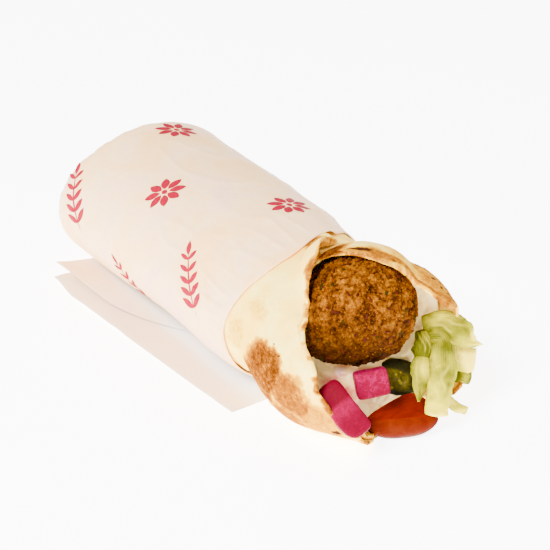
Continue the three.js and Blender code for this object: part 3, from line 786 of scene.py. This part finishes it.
# The lining's brown stretch behind its rim, over the falafel, is partly painted shade from the outer bread
# above it.
flatbread(
    "flatbread_lining", "bread_lining", LINING_END, LINING_RIM, tears=90, outside=LINING_OUTSIDE,
    thickness=LINING, room=lining_room, columns=360, toast=LINING_TOAST, char=LINING_CHAR,
    browned=(0, 44, 4.2, 0.6),
)

# ---- Paper -------------------------------------------------------------------------------

SHOULDER, END_HOLLOW = 9.0, 3.0
SHOULDER_SHARE, END_RINGS = 0.4, 26  # the share of the end's rings that go round its shoulder
SLEEVE_ROWS, SLEEVE_COLUMNS = 130, 260
PLEATS, PLEAT_HEIGHT, PLEAT_TWIST = 22, 1.3, 30
PAPER_OUT = LAYER_GAP + PAPER  # the paper's outer face, outside the bread's
OVER_END, OVER_START = BREAD_END - 360, BREAD_START + 360  # where the outer bread's ends lie
TAIL_THICKNESS, SECOND_THICKNESS, SECOND_GAP = 0.35, 0.3, 0.45
SLEEVE_BACK = BACK_Y - SHOULDER


def creases(p):
    """Soft folds of paper pulled round the roll: ridges with flat dents between them."""
    ridged = 1 - np.abs(lumps(p * (1, 0.55, 1), 17, 2)) * 2.2
    return 0.35 * lumps(p, 24, 1) + 0.4 * clamp(ridged) ** 3


def sleeve_at(angle, y, depth):
    """The sleeve's surface, depth below its outer face: snug on the bread at its front edge."""
    angle, y = np.broadcast_arrays(angle, y)
    turn = (angle - OVER_END) % 360 + OVER_END
    edge = smooth((turn - OVER_END) / 14)
    front = between(SLEEVE_RIM, turn_from(0, angle))
    near_front = smooth((front + 16 - y) / 14)
    loose = 0.4 * bell(turn_from(-140, angle), 0, 34) * bell(y, -31, 14)
    snug = near_front * np.where(turn < OVER_START, spiral(turn) * edge, 0.0)
    offset = PAPER_OUT - depth + loose + snug
    p = roll_point(angle, y, offset)
    gathers = together(turn * ARC, 0.28 * y, 0 * y)
    drawn_in = clamp(1 - 2.4 * np.abs(other_lumps(gathers, 6, 2))) ** 2
    relief = creases(p) + 0.55 * drawn_in * smooth((front + 34 - y) / 24)
    relief = relief * smooth((y - front) / 8)
    over_ends = (BREAD + LAYER_GAP) * (1 - edge) * (turn < OVER_START)
    room = outer_room(turn) + over_ends + PAPER_OUT - depth
    p = roll_point(angle, y, offset + relief, room, PAPER_OUT - depth)
    p[..., 2] = np.maximum(p[..., 2], PAPER - depth)
    return p


def sleeve_tube(angle, depth):
    """One face of the sleeve's tube from its front edge to the shoulder."""
    rows = evenly(SLEEVE_ROWS)[:, None]
    front = between(SLEEVE_RIM, turn_from(0, angle)) + 0.12 * sine(9 * angle)
    return sleeve_at(angle, mix(front, SLEEVE_BACK, rows), depth)


def sleeve_end(angle, edge, depth):
    """The shoulder and the gathered end, ring by ring from the tube's edge towards its middle."""
    _, height, shift, base = section(np.array(SLEEVE_BACK))
    centre = np.array([shift, SLEEVE_BACK, base + height - SAG])
    radius = np.linalg.norm(edge - centre, axis=-1)
    rings = []
    for share in np.arange(1, END_RINGS + 1) / END_RINGS:
        turned = np.radians(90 * min(1, share / SHOULDER_SHARE))
        inward = max(0, (share - SHOULDER_SHARE) / (1 - SHOULDER_SHARE))
        rounding = SHOULDER * (1 - np.cos(turned)) + depth * np.cos(turned)
        fold = sine(PLEATS * (angle + inward * PLEAT_TWIST)) + 0.5 * sine(2.3 * PLEATS * angle + 70)
        pleat = (PLEAT_HEIGHT * inward * 4 + 0.5 * np.sin(turned)) * fold * (1 - inward)
        p = centre + (edge - centre) * ((1 - rounding / radius) * (1 - 0.93 * inward))[:, None]
        p[:, 1] = SLEEVE_BACK + (SHOULDER - depth) * np.sin(turned) - END_HOLLOW * smooth(inward) + pleat
        rings.append(p)
    return np.array(rings)


def paper_tube():
    angle = np.linspace(0, 360, SLEEVE_COLUMNS + 1)[:-1]
    edge = sleeve_tube(angle, 0.0)[-1]
    inner, outer = (
        np.concatenate([sleeve_tube(angle, depth), sleeve_end(angle, edge, depth)])
        for depth in (PAPER, 0.0)
    )
    return rings_mesh(np.concatenate([inner[::-1], outer]), inner[-1].mean(0), outer[-1].mean(0))


def flat_sheet(rows, columns, place, thickness):
    """A thin sheet on the table from place(u, v), which gives its lower face."""
    v, u = np.meshgrid(evenly(rows), evenly(columns), indexing="ij")
    lower = place(u, v)
    return shell(lower, lower + (0, 0, thickness))


def tail_curl(x):
    """How high the loose paper curls up towards its outer border."""
    return 0.9 * clamp((-30 - x) / 12) ** 2


def tail_place(u, v):
    bow = 2.9 * v**0.7 * smooth((1 - v) * 6)
    x = mix(TAIL_INNER_X, mix(TAIL_FRONT_X, TAIL_BACK_X, v) - bow, u)
    y = mix(TAIL_FRONT_Y, TAIL_BACK_Y, v)
    waves = smooth(lumps(together(x, y, 0 * x), 16, 2)) * smooth((-20 - x) / 12)
    return together(x, y, tail_curl(x) * mix(0.3, 1, v) + 0.5 * waves)


def second_place(u, v):
    front_y, back_y, corner_wide, corner_long = 8.5, 80.0, 19.5, 44.5
    corner = front_y + corner_long
    y = mix(front_y, back_y, v)
    bend = 1 - clamp((corner - y) / corner_long) ** 1.6
    splay = 4.5 * clamp((y - corner) / (back_y - corner))
    x = mix(-18.5, -19.5 - corner_wide * bend - splay, u)
    arch = 1.4 * np.sin(np.pi * u) * smooth(v * 2) * smooth((-x - 20) / 8)
    lift = 3 * u**3 * smooth((v - 0.55) / 0.45)
    z = PAPER + SECOND_GAP + tail_curl(x) + arch + lift
    return together(x, y + 3 * u * smooth((v - 0.6) / 0.4), z)


def paper_piece(name, node, points, faces, single):
    """A piece of paper, with how single its layer is at each point.

    It is painted a neutral grey for the shade where it lies in the narrow gap beside the foot of the roll.
    """
    x, _, z = points.T
    tucked = smooth((9 - z) / 7) * smooth((x + 33) / 9)
    make_piece(name, points, faces, PAPER_LOOK, "paper", node, single=single, tucked=tucked)


tube = paper_tube()
tail_points, tail_faces = flat_sheet(120, 60, tail_place, TAIL_THICKNESS)
wrap = joined([tube, (tail_points, triangles(tail_faces)[:, ::-1])])
wrap_single = np.repeat([0.0, 0.8], [len(tube[0]), len(tail_points)])
paper_piece("paper_wrap", "paper_sleeve", *wrap, wrap_single)
second_sheet = flat_sheet(90, 40, second_place, SECOND_THICKNESS)
paper_piece("paper_under_sheet", "paper_second_sheet", *second_sheet, 0.6)

# ---- Falafel -----------------------------------------------------------------------------

CRUMB_SIZE, CRUST_RELIEF = 0.0011, 0.0009
# Bits on the crust: how many on a square metre, their smallest and largest size, seed and look.
FLECKS = (
    ("falafel_crumbs", 90000.0, (0.14, 0.14, 0.14), (0.42, 0.36, 0.3), 3, CRUMB_LOOK),
    ("falafel_parsley", 12000.0, (0.5, 0.26, 0.3), (1.6, 0.75, 0.45), 8, HERB_LOOK),
    ("falafel_onion", 24000.0, (0.5, 0.26, 0.3), (1.9, 0.8, 0.45), 21, ONION_LOOK),
)


class Maker(Nodes):
    """A geometry tree that makes a piece, from inputs that are each given by name and kind."""

    def __init__(self, name, **kinds):
        super().__init__(bpy.data.node_groups.new(name, "GeometryNodeTree"))
        for label, kind in kinds.items():
            label, kind = label.replace("_", " "), "NodeSocket" + kind
            self.tree.interface.new_socket(label, in_out="INPUT", socket_type=kind)
        self.tree.interface.new_socket("Geometry", in_out="OUTPUT", socket_type="NodeSocketGeometry")
        self.given = self.tree.nodes.new("NodeGroupInput").outputs
        self.end = self.tree.nodes.new("NodeGroupOutput")

    def vector(self, operation, *inputs, output="Vector"):
        inputs = dict(enumerate(inputs))
        return self.add("ShaderNodeVectorMath", inputs, output, operation=operation)

    def stretched(self, vector, by):
        inputs = {0: vector, "Scale": by}
        return self.add("ShaderNodeVectorMath", inputs, operation="SCALE")

    def done(self, made):
        """Realize what the tree has made, give it its material and send it out."""
        real = self.add("GeometryNodeRealizeInstances", {"Geometry": made})
        inputs = {"Geometry": real, "Material": self.given["Material"]}
        self.tree.links.new(self.add("GeometryNodeSetMaterial", inputs), self.end.inputs[0])
        return self.tree


def grown_from(name, tree, values, source=None):
    """A plain mesh object made by a geometry tree from its inputs' values."""
    maker = in_scene(name + "_maker", source or bpy.data.meshes.new(name))
    modifier = maker.modifiers.new("maker", "NODES")
    modifier.node_group = tree
    for socket in tree.interface.items_tree:
        if socket.in_out == "INPUT" and socket.name in values:
            modifier[socket.identifier] = values[socket.name]
    graph = bpy.context.evaluated_depsgraph_get()
    result = bpy.data.meshes.new_from_object(maker.evaluated_get(graph))
    result.name = name
    bpy.data.objects.remove(maker)
    result.shade_smooth()
    return bpy.data.objects.new(name, result)


def crust_tree():
    """A ball with a bulge, whose crust is built up of lumps, crumbs and cracks."""
    t = Maker(
        "fried crust",
        Radius="Float", Centre="Vector", Bulge="Float", Crumb_size="Float", Relief="Float",
        Material="Material",
    )
    ball = t.add("GeometryNodeMeshIcoSphere", {"Radius": 1.0, "Subdivisions": 7})
    way = t.vector("NORMALIZE", t.add("GeometryNodeInputPosition"))
    place = t.stretched(way, t.given["Radius"])
    per_size = t.math("DIVIDE", 1.0, t.given["Crumb size"])

    def texture(kind, scale, output=0, **inputs):
        inputs |= {"Vector": place, "Scale": t.math("MULTIPLY", per_size, scale)}
        return t.add(kind, inputs, output)

    def lumpy(scale, detail, distortion):
        inputs = {"Detail": detail, "Roughness": 0.6, "Distortion": distortion}
        return t.scaled(texture("ShaderNodeTexNoise", scale, **inputs), 2.0, -1.0)

    def crumbs(scale):
        return t.scaled(texture("ShaderNodeTexVoronoi", scale, "Distance"), -2.0, 0.9)

    def facing(*direction):
        return t.vector("DOT_PRODUCT", way, tuple(unit(direction)), output="Value")

    clumps = lumpy(0.42, 3.0, 0.4)
    height = t.scaled(crumbs(1.0), 0.42, t.math("MULTIPLY", clumps, 1.15))
    height = t.scaled(crumbs(2.3), 0.26, height)
    rise = t.math("MULTIPLY", t.scaled(lumpy(0.16, 2.0, 0.0), 1.2, height), t.given["Relief"])
    towards = t.math("POWER", t.math("MAXIMUM", facing(*BALL_BULGE_TOWARDS), 0.0), 3.0)
    rise = t.math("ADD", t.scaled(towards, t.given["Bulge"], rise), t.given["Radius"])
    moved = t.vector("ADD", t.stretched(way, rise), t.given["Centre"])
    # Painted shade for the finish: fried grows where the crust faces down and to the left, away from the
    # light, spread a little by the clumps.
    fried = t.scaled(clumps, 0.3, t.math("SUBTRACT", facing(-0.45, -0.4, -0.8), 0.12))
    for name, value in (("height", t.scaled(height, 0.45, 0.5)), ("fried", fried)):
        inputs = {"Geometry": ball, "Name": name, "Value": value}
        ball = t.add("GeometryNodeStoreNamedAttribute", inputs, data_type="FLOAT", domain="POINT")
    return t.done(t.add("GeometryNodeSetPosition", {"Geometry": ball, "Position": moved}))


def fleck_tree():
    """Flat chips or crumbs scattered over a surface and pressed half into it."""
    t = Maker(
        "flecks",
        Geometry="Geometry", Count_per_area="Float", Smallest="Vector", Largest="Vector", Seed="Int",
        Material="Material",
    )

    def random(low, high, seed):
        inputs = {0: low, 1: high, "Seed": seed}
        return t.add("FunctionNodeRandomValue", inputs, data_type="FLOAT_VECTOR")

    seed = t.given["Seed"]
    inputs = {"Mesh": t.given["Geometry"], "Density": t.given["Count per area"], "Seed": seed}
    points = t.add("GeometryNodeDistributePointsOnFaces", inputs, "Points")
    chip = t.add("GeometryNodeMeshIcoSphere", {"Radius": 0.001, "Subdivisions": 2})
    size = random(t.given["Smallest"], t.given["Largest"], seed)
    inputs = {0: points.node.outputs["Rotation"], 1: random((0.0, 0.0, 0.0), (0.5, 0.5, 6.28), 5)}
    turn = t.add("FunctionNodeRotateRotation", inputs, rotation_space="LOCAL")
    inputs = {"Points": points, "Instance": chip, "Rotation": turn, "Scale": size}
    return t.done(t.add("GeometryNodeInstanceOnPoints", inputs))


def falafel():
    values = {
        "Radius": BALL_RADIUS / 1000,
        "Centre": tuple((BALL_CENTRE + TO_FRAME) / 1000),
        "Bulge": BALL_BULGE / 1000,
        "Crumb size": CRUMB_SIZE,
        "Relief": CRUST_RELIEF,
        "Material": FALAFEL_LOOK,
    }
    ball = place_piece(grown_from("falafel_ball", crust_tree(), values), "falafel")
    flecks = fleck_tree()
    for name, *chosen in FLECKS:
        keys = ("Count per area", "Smallest", "Largest", "Seed", "Material")
        place_piece(grown_from(name, flecks, dict(zip(keys, chosen)), ball.data))


falafel()

# ---- Garlic sauce ------------------------------------------------------------------------

SAUCE_FRONT_Y, SAUCE_BACK_Y = -74.0, 74.0
SAUCE_MIDDLE = (1.0, 27.0)
SAUCE_ROWS, SAUCE_COLUMNS = 70, 240


def sauce_outside(angle):
    """How far out from the roll's surface the sauce reaches: close to the inside of the lining."""
    turn = turn_from(0, angle)
    wound = np.where(turn < BREAD_START, 1 - smooth((BREAD_START - turn) / 40), -spiral(turn) / SPIRAL)
    share = np.where(turn > 0, smooth((178 - turn) / 150), wound)
    return LINING_OUTSIDE - LINING - 0.3 * LAYER_GAP - SPIRAL * share


def sauce_front(x, z):
    """Where the sauce's open face is: leaning back at its top, hollowed round the falafel."""
    across, up = x - BALL_CENTRE[0], z - BALL_CENTRE[2]
    reach = np.hypot(across, up) + 1e-6
    left = smooth(-1.4 * across / reach)
    beside = reach - BALL_RADIUS - 0.9 * BALL_BULGE * left
    lean = 36 * smooth((z - 35) / 16) * smooth((6 - across) / 8)
    hollow = mix(4.6, 15, left) * smooth(1 - beside / 9)
    lip = 1.5 * (1 - left) * bell(beside, 2.0, 1.3)
    return SAUCE_FRONT_Y + np.maximum(lean, hollow) - lip + 0.8 * np.sin(0.35 * x) * np.cos(0.3 * z)


def sauce():
    angle = np.linspace(0, 360, SAUCE_COLUMNS + 1)[:-1]
    x, z = SAUCE_MIDDLE
    outside = sauce_outside(angle)
    rim = roll_point(angle, SAUCE_FRONT_Y, outside)
    # Each round brings the rim closer to where the open face meets the outside.
    for _ in range(5):
        rim = roll_point(angle, sauce_front(rim[:, 0], rim[:, 2]), outside)
    face = []
    for share in evenly(SAUCE_ROWS + 1)[1:]:
        p = together(mix(x, rim[:, 0], share), 0 * angle, mix(z, rim[:, 2], share))
        p[:, 1] = sauce_front(p[:, 0], p[:, 2])
        p[:, 1] -= (1.3 * lumps(p, 6, 3) + 0.3) * smooth((1 - share) * 8)
        face.append(p)
    sides = [
        roll_point(angle, np.maximum(y, rim[:, 1] + 2 * k), outside)
        for k, y in enumerate((-60.0, -50.0, -42.0, -32.0, 0.0, 38.0, SAUCE_BACK_Y), 1)
    ]
    points, faces = rings_mesh(np.array(face + sides), (x, sauce_front(x, z), z), (x, SAUCE_BACK_Y, z))
    stain = bell(points[:, 0], -12, 12) * bell(points[:, 2], 18, 10) * smooth((-60 - points[:, 1]) / 6)
    make_piece("garlic_sauce_fill", points, faces, SAUCE_LOOK, "sauce", "garlic_sauce", stain=stain)


sauce()

# ---- Cut vegetables ----------------------------------------------------------------------


def axes_for(facing, along):
    """Right-handed axes whose third points along facing and whose first is nearly along."""
    third = unit(facing)
    first = np.asarray(along, float)
    first = unit(first - third * first.dot(third))
    return np.array([first, np.cross(third, first), third])


def block_grid(count):
    """The six sides of a block as one closed mesh: points within 1 of the middle, and faces."""
    steps = np.tan(np.linspace(-1, 1, count) * np.pi / 4)
    v, u = np.meshgrid(steps, steps, indexing="ij")
    one = np.ones_like(u)
    sides = [(u, v, one), (v, u, -one), (one, u, v), (-one, v, u), (v, one, u), (u, -one, v)]
    points = np.concatenate([np.stack(side, -1).reshape(-1, 3) for side in sides])
    grid = np.arange(count * count).reshape(count, count)
    faces = np.concatenate([quads(grid) + k * count * count for k in range(6)])
    _, first, same = np.unique(np.round(points, 6), axis=0, return_index=True, return_inverse=True)
    faces = same.ravel()[faces]
    return points[first], faces[:, ::-1]


def chunk(size, outline, edge, dents, count=46):
    """A cut piece with rounded edges, about the middle: its points, those in a box of 1, its faces.

    Its dents are given by their height, place among the lumps, size and layers.
    """
    points, faces = block_grid(count)
    across = (np.abs(points[:, 0]) ** outline + np.abs(points[:, 1]) ** outline) ** (edge / outline)
    points = points / ((across + np.abs(points[:, 2]) ** edge) ** (1 / edge))[:, None]
    local = points * size
    height, shift, *lump = dents
    return local + height * lumps(local + shift, *lump)[:, None] * unit(local), points.T, faces


def set_chunk(local, centre, facing, along, bend=0.0, taper=0.0, length=1.0):
    """A chunk bent and tapered over a length, then turned and put in its place."""
    x, y, z = local.T
    y = y * (1 - taper * clamp(x / length)) + bend * (1 - (x / length) ** 2)
    return np.array(centre) + together(x, y, z) @ axes_for(facing, along)


def turnip(name, node, points, faces, deep, veined):
    make_piece(name, points, faces, TURNIP_LOOK, "pickled_turnip", node, deep=deep, veined=veined)


def cut_turnip():
    local, (_, v, _), faces = chunk((5.7, 4.7, 4.4), 9, 9, (0.14, 30, 3.2, 3))
    points = set_chunk(local, (-6.0, -79.6, 23.4), (-0.46, -0.76, 0.46), (1, -0.46, 0.16))
    # Darker towards one side of the dice and in random patches.
    deep = 0.3 + 0.35 * smooth(-v) + 0.15 * smooth(lumps(local, 4, 2))
    turnip("turnip_dice", "turnip_cube", points, faces, deep, 1.0)

    local, (u, _, _), faces = chunk((10.3, 4.9, 3.4), 4.0, 9, (0.2, 60, 5, 2))
    local[:, 2] -= 0.24 * np.maximum(0, -1.5 - local[:, 0])
    place = ((-19.7, -83.75, 20.8), (-0.4, -0.7, 0.6), (0.43, -0.2, -0.88))
    points = set_chunk(local, *place, bend=-1.4, taper=-0.04, length=11.4)
    # Painted shade at both ends of the stick, which leaves a painted sheen across its lighter middle.
    deep = np.maximum(smooth((-0.16 - u) / 0.16), 0.75 * smooth(u / 0.4))
    turnip("turnip_stick", "turnip_slice", points, faces, deep, 0.25)


def cut_pickle():
    local, (u, v, _), faces = chunk((8.0, 6.4, 2.0), 2.2, 4, (0.2, 90, 2.4, 3), 40)
    out = np.hypot(u, v)
    local[:, 2] -= np.sign(local[:, 2]) * 0.35 * bell(out, 0.3, 0.3)
    points = set_chunk(local, (9.4, -74.4, 17.2), (-0.45, -0.7, 0.5), (1, -0.5, -0.35))
    rind = smooth((out + 0.2 * lumps(local, 5, 1) + 0.25 * v - 0.5) / 0.2)
    make_piece("pickle_round", points, faces, PICKLE_LOOK, "pickled_cucumber", "pickle_slice", rind=rind)


def cut_tomato():
    """A wedge: rounded skin outside, two cuts that meet at its inner edge."""
    centre, half_length, steps = np.array([2.9, -86.2, 5.0]), 13.0, 60
    along = unit((0.9, -0.44, 0.0))
    front = np.array([along[1], -along[0], 0.0])
    ridge, bottom, inner = (front * y + (0, 0, z) for y, z in ((0.9, 4.9), (0.2, -4.2), (-8.6, 8.8)))
    around = evenly(steps + 1)[:, None]
    bulging = 4 * around * (1 - around) * (front * 1.7 - (0, 0, 0.5))
    cuts = [mix(ridge, inner, around[1:]), mix(inner, bottom, around[1:-1])]
    outline = np.concatenate([mix(bottom, ridge, around) + bulging, *cuts])
    cut = np.concatenate([smooth(around[:, 0] * 24 - 23), np.ones(2 * steps - 1)])
    middle = outline.mean(0) * 0.6
    rings = []
    for t in -np.cos(np.linspace(0, np.pi, 90)[1:-1]):
        full = (1 - abs(t) ** 2.6) ** 0.6
        deep = mix(0.3, 1.0, smooth((t + 0.8) / 1.3))
        ring = (outline - middle) * full
        ring = ring - np.outer((1 - deep) * np.minimum(0, ring @ front), front)
        ring[:, 2] -= (1 - deep) * np.maximum(0, ring[:, 2] - ridge[2] * full)
        rings.append(centre + middle + along * half_length * t + ring)
    rings = np.array(rings)
    rings += 0.16 * lumps(rings + 120, 5, 2)[..., None] * front
    tips = [rings[end].mean(0) + along * out for end, out in ((0, -0.05), (-1, 0.05))]
    points, faces = rings_mesh(rings, *tips)
    cut = np.concatenate([np.tile(cut, len(rings)), [0, 0]])
    make_piece("tomato_piece", points, faces, TOMATO_LOOK, "tomato", "tomato_wedge", cut=cut)


cut_turnip()
cut_pickle()
cut_tomato()

# ---- Lettuce -----------------------------------------------------------------------------

# Each shred's piece and node, seed, widths at root, middle and tip, how far it cups and crumples,
# how green it is at its root, middle and tip, and its path. The last is a fold behind the front one.
# The darker green at the roots inside the bread and on the folds that lie behind is partly painted shade.
SHREDS = (
    ("lettuce_top_leaf", "lettuce_top", 1, (7.6, 11.2, 0.6), 1.0, 1.2, (0.95, 0.5, 0.08), (
        (19.8, -74.4, 34), (23.8, -80.2, 37.4), (26.4, -86, 35.8), (29.8, -88.4, 32), (34.6, -89.4, 29.6),
    )),
    ("lettuce_fold_leaf", "lettuce_fold", 2, (5, 7.5, 5), 1, 0.6, (0.8, 1.0, 1.0), (
        (18.4, -75.5, 33.5), (16.8, -79.6, 29.4), (15.2, -81.4, 23),
    )),
    ("lettuce_front_leaf", "lettuce_front", 3, (7, 9.4, 8.4), 1.6, 0.8, (1.0, 0.6, 0.0), (
        (17, -74, 29), (20.8, -82.6, 33.6), (18.4, -88, 28.6), (15.4, -91, 22.8), (13.4, -92.3, 16),
        (12.4, -93, 10),
    )),
    ("lettuce_point_leaf", "lettuce_point", 4, (3.6, 7.2, 0.6), 0.6, 0.5, (0.8, 0.5, 0.5), (
        (16.6, -74, 27.4), (15, -79.6, 26.8), (11.4, -84.6, 23.6), (8.4, -88, 19.6), (6.4, -90.2, 17),
    )),
    ("lettuce_square_leaf", "lettuce_square", 5, (6.5, 8.6, 8.4), 0.8, 0.6, (0.3, 0.2, 0.02), (
        (17.4, -71, 26), (22.6, -79.4, 25.6), (27.6, -86.1, 24.2), (32.4, -88.4, 23),
    )),
    ("lettuce_low_leaf", "lettuce_low", 6, (4.6, 5.6, 4.6), 0.5, 0.4, (0.8, 0.85, 0.7), (
        (20, -71, 19), (24.6, -83.6, 18.8), (28.2, -87.6, 17.6), (31, -88.4, 16.4),
    )),
    ("lettuce_floor_leaf", "lettuce_floor", 7, (3, 4.2, 3), 0.4, 0.3, (0.4, 0.4, 0.3), (
        (15.6, -71, 14), (20.6, -80.4, 12.2), (25.2, -87.2, 6.2), (29.6, -89.1, 3.4),
    )),
    ("lettuce_front_fold", None, 20, (5, 5.6, 3), 1.2, 0.6, (1.0, 1.0, 0.9), (
        (19.5, -75, 31), (21.4, -81.4, 31), (17.6, -85.6, 26.4), (14.8, -88, 21.4),
    )),
)
SHRED_STEPS, SHRED_COLUMNS = 110, 49
SHRED_FACING = unit((-0.46, -0.72, 0.5))
SHRED_THICKNESS = 0.8


def path_points(path, v):
    """Points and tangents along a smooth path, its corners spaced evenly in v from 0 to 1."""
    path = np.asarray(path, float)
    knots = np.concatenate([[2 * path[0] - path[1]], path, [2 * path[-1] - path[-2]]])
    steps = np.linalg.norm(np.diff(knots, axis=0), axis=1) ** 0.5
    place = v * (len(path) - 1)
    k = np.minimum(place.astype(int), len(path) - 2)
    t = (place - k)[..., None]
    a, b, c, d = (knots[k + i] for i in range(4))
    before, here, after = (steps[k + i][..., None] for i in range(3))
    start = ((b - a) / before - (c - a) / (before + here) + (c - b) / here) * here
    stop = ((c - b) / here - (d - b) / (here + after) + (d - c) / after) * here
    square, cube = -3 * b + 3 * c - 2 * start - stop, 2 * b - 2 * c + start + stop
    return b + start * t + square * t**2 + cube * t**3, start + 2 * square * t + 3 * cube * t**2


def lines(place):
    """Thin ridges from 0 to 1 high, where a place is halfway between whole numbers."""
    return clamp(1 - np.abs(place % 1 - 0.5) * 4)


def shred(name, node, seed, widths, cup, crumple, greens, path):
    """A shred of lettuce: a cupped, crumpled strip along its path, with ribs and finer threads."""
    steps, columns = evenly(SHRED_STEPS), np.linspace(-1, 1, SHRED_COLUMNS)
    v, u = np.meshgrid(steps, columns, indexing="ij")
    middle, tangent = path_points(path, v)
    tangent = unit(tangent)
    across = unit(np.cross(tangent, SHRED_FACING))
    normal = unit(np.cross(across, tangent))

    def along(three):
        half = mix(three[0], three[1], smooth(v * 2))
        return mix(half, three[2], clamp(v * 2 - 1) ** 0.9)

    length = np.linalg.norm(np.diff(path, axis=0), axis=1).sum()
    flat = together(u * widths[1] / 2, v * length, 0 * u + seed * 10)
    side_noise = other_lumps(together(np.sign(u) * 40, v * length, 0 * u + seed * 9), 3, 3)
    width = along(widths) * (1 + 0.12 * side_noise * np.abs(u))
    creased = 1 - 2 * np.abs(lumps(flat + 50, 6, 2))
    frill = 0.7 * np.abs(u) ** 3 * other_lumps(flat, 3, 2)
    ruffle = crumple * (0.4 * lumps(flat, 4, 2) + 0.5 * creased + frill)
    ribs = lines(u * 1.7 + 0.7 * lumps(flat, 7, 2))
    ribs = ribs * smooth(0.4 + lumps(flat + 20, 5, 2)) * smooth(2 - 2 * v)
    threads = lines(u * widths[1] * 0.58 + 0.6 * lumps(flat * (1, 0.35, 1) + 70, 3, 2))
    threads = threads * smooth(0.5 + lumps(flat + 33, 4, 2))
    curl = -cup * u**2 + ruffle + 0.07 * threads
    ribs = np.maximum(ribs, 0.5 * threads)
    half = SHRED_THICKNESS / 2 * np.sqrt((1 - u**6) * (1 - (2 * v - 1) ** 20)) * (0.8 + 0.3 * ribs)
    base = middle + across * (width / 2 * u)[..., None]
    faces = [base + normal * (curl + side * half)[..., None] for side in (-1, 1)]
    hollow = smooth(-creased - 0.1)
    # Darker green in the hollows of the creases is painted shade.
    green = along(greens) + 0.4 * lumps(flat + 80, 6, 2) + 0.25 * hollow + 0.15 * np.abs(u) ** 4
    points, polygons, green, vein = shell(*faces, [clamp(green)] * 2, [ribs] * 2)
    make_piece(name, points, polygons, LETTUCE_LOOK, "lettuce", node, green=green, vein=vein)


for given in SHREDS:
    shred(*given)

# ---- Print on the paper ------------------------------------------------------------------

PRINT_LIFT, PRINT_THICKNESS = 0.05, 0.05
MOTIF_ROWS, MOTIF_COLUMNS, MOTIF_STEP = (-8, 32, 72), 4, 50
STEM_LENGTH, STEM_WIDTH, LEAF_PAIRS, LEAF_TURN, LEAF_SHAPE = 27, 0.9, 5, 48, 0.36
PETALS, PETALS_FROM, PETALS_TO, PETAL_WIDTH = 8, 1.6, 7.6, 3.1
# Places on the flat paper are complex numbers: the length round the sleeve, and along it.


def step(turn):
    """A step of 1 mm on the flat paper, turned."""
    return np.exp(1j * np.radians(turn))


def leaf(root, turn, length, width):
    """A pointed leaf on the flat paper, as a grid."""
    s, t = np.meshgrid(evenly(14), np.linspace(-0.5, 0.5, 9), indexing="ij")
    return root + step(turn) * (s * length + 1j * width * t * np.sin(np.pi * s) ** 0.8)


def sprig(root, turn):
    """A stem with pairs of leaves, and one at its tip."""
    stem = leaf(root, turn, STEM_LENGTH, STEM_WIDTH)
    leaves = [stem, leaf(root + (STEM_LENGTH - 2) * step(turn), turn, 6, 2.2)]
    for k in range(LEAF_PAIRS):
        size = 7.6 - 0.7 * k
        at = root + (4 + 4.8 * k) * step(turn)
        leaves += [leaf(at, turn + side * LEAF_TURN, size, size * LEAF_SHAPE) for side in (-1, 1)]
    return leaves


def rosette(centre):
    """A round of petals, and a short one across its middle."""
    leaves = [leaf(centre - 1.1, 0, 2.2, 2.6)]
    for turn in 11 + 360 / PETALS * np.arange(PETALS):
        root = centre + PETALS_FROM * step(turn)
        leaves.append(leaf(root, turn, PETALS_TO - PETALS_FROM, PETAL_WIDTH))
    return leaves


def on_sleeve(flat):
    """A very thin skin over the sleeve where a flat leaf lies, and its faces."""
    lifts = (PRINT_LIFT, PRINT_LIFT + PRINT_THICKNESS)
    return shell(*(sleeve_at(flat.real / ARC, flat.imag, -lift) for lift in lifts))


def paper_print():
    leaves = []
    for row, y in enumerate(MOTIF_ROWS):
        for column in range(MOTIF_COLUMNS):
            place = (column - 2 + row % 2 / 2) * MOTIF_STEP + 8 + 1j * y
            leaves += sprig(place - 8 - 8j, 38) if (row + column) % 2 else rosette(place)
    make_piece("paper_motif", *joined(map(on_sleeve, leaves)), PRINT_LOOK, "paper")


paper_print()

# ---- The whole ---------------------------------------------------------------------------

camera()
lights()
table()
